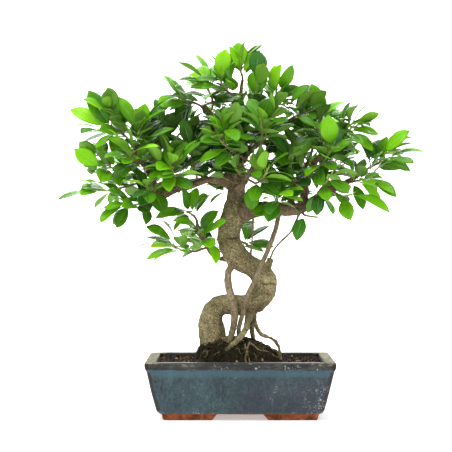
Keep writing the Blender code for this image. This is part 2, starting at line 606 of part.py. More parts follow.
def build_aerial_root(name, parent, ends_in, line):
    """An aerial root: it hangs from one piece of wood and ends in another or in the soil."""
    wood_lines[name] = smooth_line(line, 2, TRUNK_GIRTH)
    material = make_material(name, ROOT_COLOUR, 0.85)
    root = sweep(name, wood_lines[name], ROOT_SIDES, AERIAL_LUMPS, 0.0, material)
    for other in sorted({parent, ends_in, "trunk"} - {"soil"}):
        combine(root, wood_solid(other, GAP), "DIFFERENCE")
    if ends_in == "soil":
        socket = sweep("socket_tool", wood_lines[name], ROOT_SIDES, AERIAL_LUMPS, GAP)
        combine(bpy.data.objects["soil"], socket, "DIFFERENCE")
    remember(root)
    return root


def twig_start(parent, along, tip):
    """Where a twig leaves its parent: a point just off the surface, and the direction straight out of it."""
    line = wood_lines[parent]
    position = along * (len(line) - 1)
    index = min(int(position), len(line) - 2)
    centre = line[index][0].lerp(line[index + 1][0], position - index)
    tangent = (line[index + 1][0] - line[index][0]).normalized()
    if along >= 1.0:
        aim = tangent
        centre = centre - tangent * 0.002
    else:
        aim = (tip - centre).normalized()
        aim = (aim - tangent * aim.dot(tangent) * 0.5).normalized()
    surface = wood_trees[parent]
    hit, normal, face, distance = surface.ray_cast(centre, aim)
    if normal.dot(aim) < 0.0:
        normal = -normal
    start = hit + normal * GAP
    side = normal.orthogonal().normalized() * (TWIG_RADIUS * 1.3)
    around = [Quaternion(normal, math.radians(30.0 * step)) @ side for step in range(12)]
    while any(surface.ray_cast(start + offset, -normal, GAP * 0.9)[0] is not None
              or surface.ray_cast(start + offset, normal, 0.01)[0] is not None for offset in around):
        start += normal * GAP
    return start, normal


def twig_path(start, out, tip, nodes):
    """Places along a twig, which leaves its parent straight; each node has a short span."""
    reach = (tip - start).length
    first = start + out * min(0.35 * reach, 0.025)
    second = tip.lerp(first, 0.35) + Vector((0.0, 0.0, -0.06 * reach))
    shares = [0.0]
    half = NODE_HALF / reach
    for node in range(nodes):
        middle = FIRST_NODE + NODE_RUN * node / max(nodes - 1, 1)
        shares.extend([middle - half, middle + half])
    shares.append(1.0 + 2.0 * half)
    places = []
    for t in shares:
        s = 1.0 - t
        places.append(start * s ** 3 + first * 3 * s * s * t + second * 3 * s * t * t + tip * t ** 3)
    return places


def twig_points(places, frames):
    """The corners of a twig's sections, which turn from each node to the next."""
    verts = []
    for index, (place, (tangent, side)) in enumerate(zip(places, frames)):
        side = Quaternion(tangent, NODE_TURN * (index // 2)) @ side
        radius = TWIG_RADIUS * (1.25 - 0.45 * index / len(places))
        if index == len(places) - 1:
            radius *= 0.45
        across = tangent.cross(side)
        for step in range(TWIG_SIDES):
            angle = 2.0 * math.pi * step / TWIG_SIDES
            verts.append(place + side * (radius * math.cos(angle)) + across * (radius * math.sin(angle)))
    return verts


def all_halves(facets):
    """The triangles of a twig's facets."""
    return [half for corners in facets for half in halves(corners)]


def twig_facets(spans):
    """The corner numbers of each facet of a twig, by its span and its side."""
    facets = {}
    for level in range(spans):
        low = level * TWIG_SIDES
        for step in range(TWIG_SIDES):
            after = (step + 1) % TWIG_SIDES
            high = low + TWIG_SIDES
            facets[level, step] = [low + step, low + after, high + after, high + step]
    return facets


def grow_twig(shoot, chance):
    """A shoot's twig; its tip moves a little at a time until it is clear of everything."""
    nodes = (shoot.count + len(shoot.leaves) + 1) // 2
    for attempt in range(TWIG_TRIES):
        drift = Vector([chance.uniform(-TWIG_DRIFT, TWIG_DRIFT) * attempt for axis in range(3)])
        tip = on_tree(shoot.tip) + drift
        start, out = twig_start(shoot.parent, shoot.along, tip)
        places = twig_path(start, out, tip, nodes)
        frames = carry_frames(places, out)
        verts = twig_points(places, frames)
        middles = [place for place in places for side in range(TWIG_SIDES)]
        thick = [middle + (vert - middle) * 1.5 for middle, vert in zip(middles, verts)]
        facets = twig_facets(len(places) - 1)
        past_start = [corners for (level, side), corners in facets.items() if level > 0]
        room = BVHTree.FromPolygons(thick, all_halves(past_start))
        tree = BVHTree.FromPolygons(verts, all_halves(facets.values()))
        if not any(room.overlap(other) or tree.overlap(other) for other in placed_trees):
            break
    placed_trees.append(tree)
    return Twig(nodes, frames, verts, tree)


def leaf_sections(base, reach, faces, width, thickness):
    """The four-sided sections of a leaf from its widest part to its tip, and the tip itself."""
    length = reach.length
    ahead = reach.normalized()
    upper = (faces - ahead * faces.dot(ahead)).normalized()
    side = ahead.cross(upper)
    sections = []
    for share, spread, thick in LEAF_SECTIONS:
        arch = LEAF_ARCH * length * (1.0 - (2.0 * share - 1.0) ** 2)
        centre = base + ahead * (length * share) + upper * arch
        lift = upper * (LEAF_FOLD * width)
        sections.append([
            centre + side * (width * spread) + lift, centre + upper * (thickness * thick),
            centre - side * (width * spread) + lift, centre - upper * (thickness * thick),
        ])
    return sections, base + reach


def leaf_shell(facet, sections, tip):
    """Points and faces of a leaf that grows out of a facet of its twig."""
    ahead = tip - sum(facet, Vector()) / 4.0
    facet_normal = (facet[2] - facet[0]).cross(facet[3] - facet[1])
    ordered = []
    for section in sections:
        normal = (section[2] - section[0]).cross(section[3] - section[1])
        same_way = normal.dot(ahead) * facet_normal.dot(ahead) > 0.0
        ordered.append(section if same_way else [section[0], section[3], section[2], section[1]])
    middle = sum(facet, Vector()) / 4.0
    first_middle = sum(ordered[0], Vector()) / 4.0
    fits = []
    for turn in range(4):
        order = ordered[0][turn:] + ordered[0][:turn]
        fit = sum((a - middle).normalized().dot((b - first_middle).normalized())
                  for a, b in zip(facet, order))
        fits.append((fit, turn))
    turn = max(fits)[1]
    return [section[turn:] + section[:turn] for section in ordered] + [[tip]]


def shell_faces(corners, sections, offset):
    """Faces that join a facet's four corner numbers to a leaf's sections, numbered from offset."""
    faces = []
    low = list(corners)
    for level in range(len(sections) - 1):
        high = [offset + 4 * level + index for index in range(4)]
        for index in range(4):
            following = (index + 1) % 4
            faces.extend(halves([low[index], low[following], high[following], high[index]]))
        low = high
    tip = offset + 4 * (len(sections) - 1)
    for index in range(4):
        faces.append([low[index], low[(index + 1) % 4], tip])
    return faces


def aim_leaf(frame, facet_normal, share, chance):
    """Reach and facing of a leaf that grows by rule: out from the twig, then towards the light."""
    tangent = frame[0]
    lean = math.radians(68.0 - 34.0 * share + chance.uniform(-12.0, 12.0))
    out = (facet_normal - tangent * facet_normal.dot(tangent)).normalized()
    ahead = out * math.sin(lean) + tangent * math.cos(lean)
    ahead += Vector((chance.uniform(-0.22, 0.22), chance.uniform(-0.22, 0.22), chance.uniform(-0.15, 0.30)))
    ahead.normalize()
    length = LEAF_LENGTH * chance.uniform(0.74, 1.06) * (1.0 - 0.15 * abs(share - 0.5))
    light = Vector((0.0, -0.30, 1.0)) + out * 0.35
    light += Vector((chance.uniform(-0.5, 0.5), chance.uniform(-0.6, 0.3), 0.0))
    return ahead * length, light


def free_facets(verts, facets, level, used):
    """The facets of a node that are still free and face away from a leaf that it has, with their normals."""
    normals = {}
    for step in range(TWIG_SIDES):
        if all((step - other) % TWIG_SIDES == TWIG_SIDES // 2 for other in used):
            corners = [verts[index] for index in facets[level, step]]
            normals[step] = (corners[2] - corners[0]).cross(corners[3] - corners[1]).normalized()
    return normals


def room_of(corners, normal, reach, light, width):
    """The space that a leaf needs, its shell made larger all round, and the part beyond its stalk."""
    base = sum(corners, Vector()) / 4.0
    sections, tip = leaf_sections(base, reach, light, width + 2 * LEAF_ROOM, LEAF_THICKNESS + 2 * LEAF_ROOM)
    shell = leaf_shell(corners, sections, tip + reach * TIP_ROOM)
    start = [base + (corner - base) * 0.8 + normal * GAP for corner in corners]
    points = start + [point for section in shell for point in section]
    whole = BVHTree.FromPolygons(points, [[3, 2, 1, 0]] + shell_faces([0, 1, 2, 3], shell, 4))
    blade = BVHTree.FromPolygons(points, [[4, 5, 6, 7]] + shell_faces([4, 5, 6, 7], shell[1:], 8))
    return whole, blade


def try_leaf(twig, facets, level, feature, used, chance, others):
    """Looks for a facet and an aim with which a leaf stays clear of everything; None if there is none."""
    share = (level // 2) / max(twig.nodes - 1, 1)
    normals = free_facets(twig.verts, facets, level, used)
    for attempt in range(LEAF_TRIES if normals else 0):
        if feature is not None:
            reach = Vector(feature.reach) * TREE_SCALE * (LEAF_LENGTH / LAID_OUT_LEAF)
            reach += Vector([chance.uniform(-0.004, 0.004) * (attempt > 0) for axis in range(3)])
            light = feature.faces
            step = max(normals, key=lambda number: normals[number].dot(reach))
        else:
            step = chance.choice(sorted(normals))
            reach, light = aim_leaf(twig.frames[level], normals[step], share, chance)
        corners = [twig.verts[index] for index in facets[level, step]]
        width = LEAF_WIDTH * chance.uniform(0.86, 1.08) * (1.0 if feature is None else FEATURE_WIDTH)
        room, blade = room_of(corners, normals[step], reach, light, width)
        if blade.overlap(twig.tree) or any(room.overlap(other) for other in others):
            continue
        sections, tip = leaf_sections(sum(corners, Vector()) / 4.0, reach, light, width, LEAF_THICKNESS)
        return step, leaf_shell(corners, sections, tip), room
    return None


def grow_leaves(shoot, twig, facets, chance):
    """A shoot's leaves from its tip down, two to a node where there is room: facets and sections."""
    others = [tree for tree in placed_trees if tree is not twig.tree]
    leaves = []
    wanted = list(shoot.leaves)
    grown = 0
    for node in reversed(range(twig.nodes)):
        level = 1 + 2 * node
        used = []
        for place in range(2):
            feature = wanted.pop(0) if wanted else None
            if feature is None:
                if grown >= shoot.count:
                    break
                grown += 1
            leaf = try_leaf(twig, facets, level, feature, used, chance, others)
            if leaf is not None:
                step, sections, room = leaf
                used.append(step)
                others.append(room)
                leaves.append(((level, step), sections))
    return leaves


def build_shoot(shoot, twig, colour, chance):
    """A shoot: its twig, and the leaves that grow out of the twig's facets."""
    spans = len(twig.frames) - 1
    facets = twig_facets(spans)
    verts = list(twig.verts)
    leaf_faces = []
    for key, sections in grow_leaves(shoot, twig, facets, chance):
        leaf_faces.extend(shell_faces(facets.pop(key), sections, len(verts)))
        for section in sections:
            verts.extend(section)
    last = spans * TWIG_SIDES
    ends = [list(reversed(range(TWIG_SIDES))), [last + step for step in range(TWIG_SIDES)]]
    material = make_material(shoot.name, colour, 0.35)
    body = make_object(shoot.name, verts, ends + all_halves(facets.values()) + leaf_faces, material)
    remember(body)
    return body


def main():
    """Builds the pot, what fills it, and the tree."""
    clear_scene()
    build_pot()
    build_net("drain_net_left", -DRAIN_SPACING / 2)
    build_net("drain_net_right", DRAIN_SPACING / 2)
    build_soil()
    build_trunk()
    for name, parent, line in BRANCHES:
        build_branch(name, parent, line)
    for name, parent, ends_in, line in AERIAL_ROOTS:
        build_aerial_root(name, parent, ends_in, line)
    chances = [random.Random(1000 + number) for number in range(len(SHOOTS))]
    twigs = [grow_twig(shoot, chance) for shoot, chance in zip(SHOOTS, chances)]
    for number, (shoot, twig, chance) in enumerate(zip(SHOOTS, twigs, chances)):
        build_shoot(shoot, twig, LEAF_COLOURS[number % len(LEAF_COLOURS)], chance)


main()
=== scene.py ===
"""A ficus bonsai in a glazed pot on corner feet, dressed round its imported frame.

Every piece takes its place and its size from a node of the frame: the leaves and twigs from the corners of
each shoot, the wood, the soil and the pot from their solids. Lengths are in metres and angles in radians.
"""

import logging
import math
import random
from dataclasses import dataclass, field
from enum import Enum

import bpy
import numpy as np
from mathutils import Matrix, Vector, noise
from mathutils.bvhtree import BVHTree


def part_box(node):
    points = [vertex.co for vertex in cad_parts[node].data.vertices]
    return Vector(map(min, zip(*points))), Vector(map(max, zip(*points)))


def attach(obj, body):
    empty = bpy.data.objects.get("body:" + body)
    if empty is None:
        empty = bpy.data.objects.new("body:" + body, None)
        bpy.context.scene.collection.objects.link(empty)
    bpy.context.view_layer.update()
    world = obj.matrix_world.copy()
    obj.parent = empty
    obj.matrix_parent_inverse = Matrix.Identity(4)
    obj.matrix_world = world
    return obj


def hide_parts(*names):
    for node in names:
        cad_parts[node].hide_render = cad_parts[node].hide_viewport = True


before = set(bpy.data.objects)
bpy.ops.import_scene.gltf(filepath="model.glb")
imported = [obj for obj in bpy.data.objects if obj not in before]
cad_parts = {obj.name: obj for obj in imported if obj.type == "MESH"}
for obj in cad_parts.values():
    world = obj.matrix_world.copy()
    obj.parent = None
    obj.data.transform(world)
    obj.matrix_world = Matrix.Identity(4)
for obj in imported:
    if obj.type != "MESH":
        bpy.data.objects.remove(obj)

Triple = tuple[float, float, float]
Colour = Triple
Range = tuple[float, float]
Stops = tuple[tuple[float, Colour], ...]
Faces = list[list[int]]
Skin = tuple[list[Vector], Faces]
Material = bpy.types.Material
Piece = bpy.types.Object
Socket = bpy.types.NodeSocket
Node = bpy.types.Node

log = logging.getLogger("bonsai")

BAKE_MAP = "OFBake"
UP = Vector((0.0, 0.0, 1.0))
EVEN = (1.0, 1.0, 1.0)
TURN = 2.0 * math.pi


class Slot(Enum):
    """The record's material slots."""

    POT = "glazed_stoneware"
    SOIL = "potting_soil"
    TRUNK = "trunk_bark"
    BRANCH = "branch_bark"
    ROOT = "root_bark"
    LEAF = "leaves_and_twig"


class Seed(Enum):
    """Where each source of small differences starts."""

    LEAVES = 500
    BRANCH_SPRIGS = 700
    TWIG_SPRIGS = 900
    GRAINS = 77
    FIBRES = 78
    SURFACE_ROOTS = 79

    def source(self, number: int = 0) -> random.Random:
        """The source, moved on by a number so that each piece has its own."""
        return random.Random(self.value + number)


class Value:
    """A number that varies over a surface, with the operators that the finishes use."""

    def __init__(self, bench: "Bench", socket: Socket) -> None:
        """Wraps an output socket of the bench's node tree."""
        self.bench = bench
        self.socket = socket

    def _math(self, operation: str, *terms: object) -> "Value":
        """Adds a Math node for the terms, each a Value or a number."""
        node = self.bench.node("ShaderNodeMath", {"operation": operation}, dict(enumerate(terms)))
        return Value(self.bench, node.outputs[0])

    def __add__(self, other: object) -> "Value":
        """Sum."""
        return self._math("ADD", self, other)

    def __radd__(self, other: object) -> "Value":
        """Reflected sum."""
        return self._math("ADD", other, self)

    def __sub__(self, other: object) -> "Value":
        """Difference."""
        return self._math("SUBTRACT", self, other)

    def __rsub__(self, other: object) -> "Value":
        """Reflected difference."""
        return self._math("SUBTRACT", other, self)

    def __mul__(self, other: object) -> "Value":
        """Product."""
        return self._math("MULTIPLY", self, other)

    def __rmul__(self, other: object) -> "Value":
        """Reflected product."""
        return self._math("MULTIPLY", other, self)

    def absolute(self) -> "Value":
        """The number without its sign."""
        return self._math("ABSOLUTE", self)

    def sine(self) -> "Value":
        """The sine of the number in radians."""
        return self._math("SINE", self)

    def highest(self, other: object) -> "Value":
        """The larger of two numbers."""
        return self._math("MAXIMUM", self, other)

    def step(self, low: float, high: float) -> "Value":
        """A smooth step.

        Args:
            low: the number at which the result is 0.
            high: the number at which the result is 1; it may be under low.

        Returns:
            The result, between 0 and 1.
        """
        turned = high < low
        sockets = {"Value": self, "From Min": min(low, high), "From Max": max(low, high),
                   "To Min": 1.0 if turned else 0.0, "To Max": 0.0 if turned else 1.0}
        node = self.bench.node("ShaderNodeMapRange", {"interpolation_type": "SMOOTHSTEP"}, sockets)
        return Value(self.bench, node.outputs[0])


class Bench:
    """A material in the making: its Principled shader and the nodes that feed it."""

    def __init__(self, name: str, roughness: float, level: float = 0.5) -> None:
        """Starts a material.

        Args:
            name: the material's name.
            roughness: the roughness where nothing feeds it.
            level: the specular level all over.
        """
        self.material = bpy.data.materials.new(name)
        self.material.use_nodes = True
        self.tree = self.material.node_tree
        self.shader = self.tree.nodes["Principled BSDF"]
        self.shader.inputs["Roughness"].default_value = roughness
        self.shader.inputs["Specular IOR Level"].default_value = level

    def node(self, kind: str, settings: dict[str, object], sockets: dict[int | str, object]) -> Node:
        """Adds a node.

        Args:
            kind: the node's type.
            settings: its properties; a ramp's stops go under the name stops.
            sockets: a value or a link for each socket, by its name or its number.

        Returns:
            The node.
        """
        made = self.tree.nodes.new(kind)
        for key, value in settings.items():
            if key == "stops":
                self._set_stops(made.color_ramp, value)
            else:
                setattr(made, key, value)
        for key, value in sockets.items():
            self.feed(made.inputs[key], value)
        return made

    def feed(self, socket: Socket, value: object) -> None:
        """Links or sets a socket.

        Args:
            socket: the socket.
            value: a Value or a socket, which is linked, or a number, a colour or a vector, which is set.
        """
        if isinstance(value, Value):
            value = value.socket
        if isinstance(value, Socket):
            self.tree.links.new(value, socket)
        elif isinstance(value, tuple) and len(value) == 3 and len(socket.default_value) == 4:
            socket.default_value = (*value, 1.0)
        else:
            socket.default_value = value

    @staticmethod
    def _set_stops(ramp: bpy.types.ColorRamp, stops: Stops) -> None:
        """Gives a colour ramp its stops.

        Args:
            ramp: the ramp.
            stops: the place and the colour of each stop.
        """
        while len(ramp.elements) < len(stops):
            ramp.elements.new(0.5)
        for element, (place, colour) in zip(ramp.elements, stops):
            element.position = place
            element.color = (*colour, 1.0)

    def place(self) -> Socket:
        """The place on the object, in metres."""
        return self.node("ShaderNodeTexCoord", {}, {}).outputs["Object"]

    def part(self, axis: str, vector: Socket) -> Value:
        """One part of a vector: X, Y or Z."""
        return Value(self, self.node("ShaderNodeSeparateXYZ", {}, {0: vector}).outputs[axis])

    def along(self, axis: str) -> Value:
        """One coordinate of the place on the object, in metres."""
        return self.part(axis, self.place())

    def facing(self, axis: str) -> Value:
        """How far the surface faces along an axis, from -1 to 1."""
        return self.part(axis, self.node("ShaderNodeNewGeometry", {}, {}).outputs["Normal"])

    def carried(self, name: str) -> Value:
        """A number that the mesh carries under a name."""
        return Value(self, self.node("ShaderNodeAttribute", {"attribute_name": name}, {}).outputs["Fac"])

    def carried_part(self, name: str, axis: str) -> Value:
        """One part of a vector that the mesh carries under a name."""
        made = self.node("ShaderNodeAttribute", {"attribute_name": name}, {})
        return self.part(axis, made.outputs["Vector"])

    def cloud(self, size: float, detail: float = 3.0, stretch: Triple = EVEN, rough: float = 0.55,
              shift: float = 0.0) -> Value:
        """Soft noise.

        Args:
            size: the size of its patches in metres.
            detail: how many finer layers it has.
            stretch: how much finer it is along X, Y and Z.
            rough: how strong the finer layers are.
            shift: how far it is moved, so that two of them differ.

        Returns:
            The noise, about 0.5.
        """
        mapped = self.node("ShaderNodeMapping", {}, {"Vector": self.place(), "Location": (shift,) * 3,
                                                      "Scale": stretch})
        made = self.node("ShaderNodeTexNoise", {}, {"Vector": mapped.outputs[0], "Scale": 1.0 / size,
                                                     "Detail": detail, "Roughness": rough})
        return Value(self, made.outputs[0])

    def cells(self, size: float, stretch: Triple = EVEN) -> Value:
        """Distance to scattered spots.

        Args:
            size: the distance between spots in metres.
            stretch: how much closer they are along X, Y and Z.

        Returns:
            The distance, as a share of size.
        """
        mapped = self.node("ShaderNodeMapping", {}, {"Vector": self.place(), "Scale": stretch})
        made = self.node("ShaderNodeTexVoronoi", {}, {"Vector": mapped.outputs[0], "Scale": 1.0 / size})
        return Value(self, made.outputs[0])

    def blend(self, share: object, first: object, second: object) -> Socket:
        """A colour between two colours, with the given share of the second."""
        made = self.node("ShaderNodeMix", {"data_type": "RGBA"}, {0: share, 6: first, 7: second})
        return made.outputs[2]

    def ramp(self, value: object, stops: Stops) -> Socket:
        """A colour picked from stops by a value."""
        return self.node("ShaderNodeValToRGB", {"stops": stops}, {0: value}).outputs[0]

    def finish(self, colour: object, roughness: object = None, relief: Value | None = None,
               depth: float = 0.001) -> Material:
        """Feeds the shader.

        Args:
            colour: the base colour.
            roughness: the roughness, where it varies.
            relief: the height of the surface's relief, from 0 to 1.
            depth: how high the relief is at 1, in metres.

        Returns:
            The finished material.
        """
        self.feed(self.shader.inputs["Base Color"], colour)
        if roughness is not None:
            self.feed(self.shader.inputs["Roughness"], roughness)
        if relief is not None:
            bump = self.node("ShaderNodeBump", {}, {"Height": relief, "Distance": depth, "Strength": 1.0})
            self.feed(self.shader.inputs["Normal"], bump.outputs[0])
        return self.material


@dataclass(frozen=True)
class LeafFinish:
    """The waxy skin of a ficus leaf, from bright young to dark old, with its midrib, veins and pale rim."""

    old: Colour = (0.017, 0.072, 0.004)
    grown: Colour = (0.078, 0.270, 0.003)
    fresh: Colour = (0.185, 0.530, 0.004)
    young: Colour = (0.330, 0.700, 0.016)
    under: Colour = (0.180, 0.330, 0.060)
    rib: Colour = (0.340, 0.540, 0.110)
    cool: Colour = (0.012, 0.100, 0.034)
    speck: Colour = (0.05, 0.075, 0.012)
    veins: float = 12.0
    vein_slant: float = 2.6

    def make(self) -> Material:
        """Makes the material.

        Returns:
            The material; it reads the place on the blade and the leaf's age from the mesh.
        """
        bench = Bench("ficus_leaf", 0.3, 0.17)
        across = bench.carried_part("blade", "X").absolute()
        along = bench.carried_part("blade", "Y")
        age = bench.carried_part("blade", "Z")
        below = bench.carried("under")
        mottle = bench.cloud(0.013)
        colour = bench.ramp(age + (mottle - 0.5) * 0.16,
                            ((0.0, self.old), (0.38, self.grown), (0.72, self.fresh), (1.0, self.young)))
        lines = (((along * self.veins) - across * self.vein_slant) * TURN).sine()
        veins = lines.step(0.80, 1.0) * across.step(0.98, 0.55) * 0.10
        colour = bench.blend(veins, colour, self.rib)
        cool = bench.cloud(0.045, 1.0, shift=6.0).step(0.50, 0.60) * age.step(0.70, 0.30)
        colour = bench.blend(cool * 0.45, colour, self.cool)
        colour = bench.blend(below * 0.66, colour, bench.blend(age * 0.5, self.under, self.young))
        rib = across.step(0.075, 0.02) * along.step(1.0, 0.25)
        rim = across.step(0.91, 0.99) * (0.22 + age * 0.35)
        colour = bench.blend((rib * 0.42).highest(rim), colour, self.rib)
        specks = bench.cells(0.0085).step(0.075, 0.045) * bench.cloud(0.06, 1.0, shift=3.0).step(0.56, 0.66)
        colour = bench.blend(specks * 0.6, colour, self.speck)
        roughness = 0.25 + below * 0.28 + (mottle - 0.5) * 0.18
        relief = 0.5 + rib * 0.4 - veins * 2.4 + (bench.cloud(0.004, 2.0) - 0.5) * 0.35
        return bench.finish(colour, roughness, relief, 0.0005)


@dataclass(frozen=True)
class TwigFinish:
    """The skin of a shoot's twig: red-brown and barky low down, green and smooth towards its bud."""

    bark: Colour = (0.165, 0.092, 0.048)
    green: Colour = (0.250, 0.400, 0.055)
    pore: Colour = (0.36, 0.28, 0.16)

    def make(self) -> Material:
        """Makes the material.

        Returns:
            The material; it reads from the mesh how green the twig is.
        """
        bench = Bench("ficus_twig", 0.6)
        ripe = bench.carried_part("blade", "Z")
        patch = bench.cloud(0.006)
        colour = bench.blend((ripe + (patch - 0.5) * 0.7).step(0.25, 0.70), self.bark, self.green)
        pores = bench.cells(0.0022, (1.0, 1.0, 0.6)).step(0.30, 0.16)
        colour = bench.blend(pores * 0.45, colour, self.pore)
        return bench.finish(colour, 0.78 - ripe.step(0.2, 0.9) * 0.33, patch * 0.7 + pores * 0.3, 0.0004)


@dataclass(frozen=True)
class BarkFinish:
    """Ficus bark: grey-brown, mottled, with tan pores in rows, dark flecks, rings and cracks.

    The grain is the size of its mottles, and the streak how much longer than wide they are. Algae and the
    paler top are shares, and dark_above is the height over which the bark darkens. The paler top is painted
    top light on bark that faces up; on the stub it is also the real pale cut top.
    """

    name: str
    base: Colour
    dark: Colour
    pale: Colour
    grain: float
    streak: float = 1.0
    algae: float = 0.0
    lit_pale_top: float = 0.0
    # Share of painted top light: bark that faces up is made paler, partly also the stub's real pale cut top.
    dark_above: float = 0.0
    crack: Colour = (0.030, 0.016, 0.008)
    green: Colour = (0.145, 0.165, 0.085)

    def make(self) -> Material:
        """Makes the material.

        Returns:
            The material; it reads from the mesh where the ring cracks are.
        """
        bench = Bench(self.name, 0.85, 0.25)
        lengthwise = (1.0, 1.0, 1.0 / self.streak)
        broad = bench.cloud(self.grain * 9.0)
        patch = bench.cloud(self.grain, 5.0, lengthwise, 0.68)
        fine = bench.cloud(self.grain * 0.42, 4.0, lengthwise, 0.75, 2.0)
        colour = bench.ramp(patch * 0.45 + fine * 0.55 + (broad - 0.5) * 0.42,
                            ((0.37, self.dark), (0.47, self.base), (0.53, self.base), (0.61, self.pale)))
        flecks = bench.cells(self.grain * 0.7, (1.0, 1.0, 1.5)).step(0.40, 0.24) * broad.step(0.40, 0.58)
        colour = bench.blend(flecks * 0.85, colour, self.pale)
        pits = bench.cloud(self.grain * 0.55, 2.0, lengthwise, 0.5, 5.0).step(0.57, 0.66)
        colour = bench.blend(pits * 0.80, colour, self.dark)
        height = bench.along("Z") * (TURN / (self.grain * 3.1)) + broad * 26.0
        rings = height.sine().step(0.86, 1.0) * bench.cloud(self.grain * 6.0, 1.0, shift=7.0).step(0.5, 0.62)
        colour = bench.blend(rings * 0.45, colour, self.dark)
        if self.dark_above > 0.0:
            shade = bench.along("Z").step(self.dark_above, self.dark_above + 0.10) * 0.40
            colour = bench.blend(shade * patch.step(0.60, 0.45), colour, self.dark)
        crack = bench.carried("crack")
        colour = bench.blend(crack * 0.85, colour, self.crack)
        if self.algae > 0.0:
            film = bench.cloud(self.grain * 5.0, 4.0, shift=9.0).step(0.50, 0.64)
            colour = bench.blend(film * bench.facing("Z").step(-0.6, 0.6) * self.algae, colour, self.green)
        # Painted top light: bark that faces up is blended towards the pale bark colour, as light from above
        # would brighten it; on the stub's cut top the paleness is real.
        if self.lit_pale_top > 0.0:
            lit_pale_mask = bench.facing("Z").step(0.25, 0.85) * broad.step(0.42, 0.56) * self.lit_pale_top
            colour = bench.blend(lit_pale_mask, colour, bench.blend(patch.step(0.3, 0.7), self.base, self.pale))
        relief = patch * 0.5 + fine * 0.3 + flecks * 0.2 - pits * 0.35 - rings * 0.3 - crack * 0.8
        return bench.finish(colour, 0.74 + patch * 0.22, relief, self.grain * 0.30)


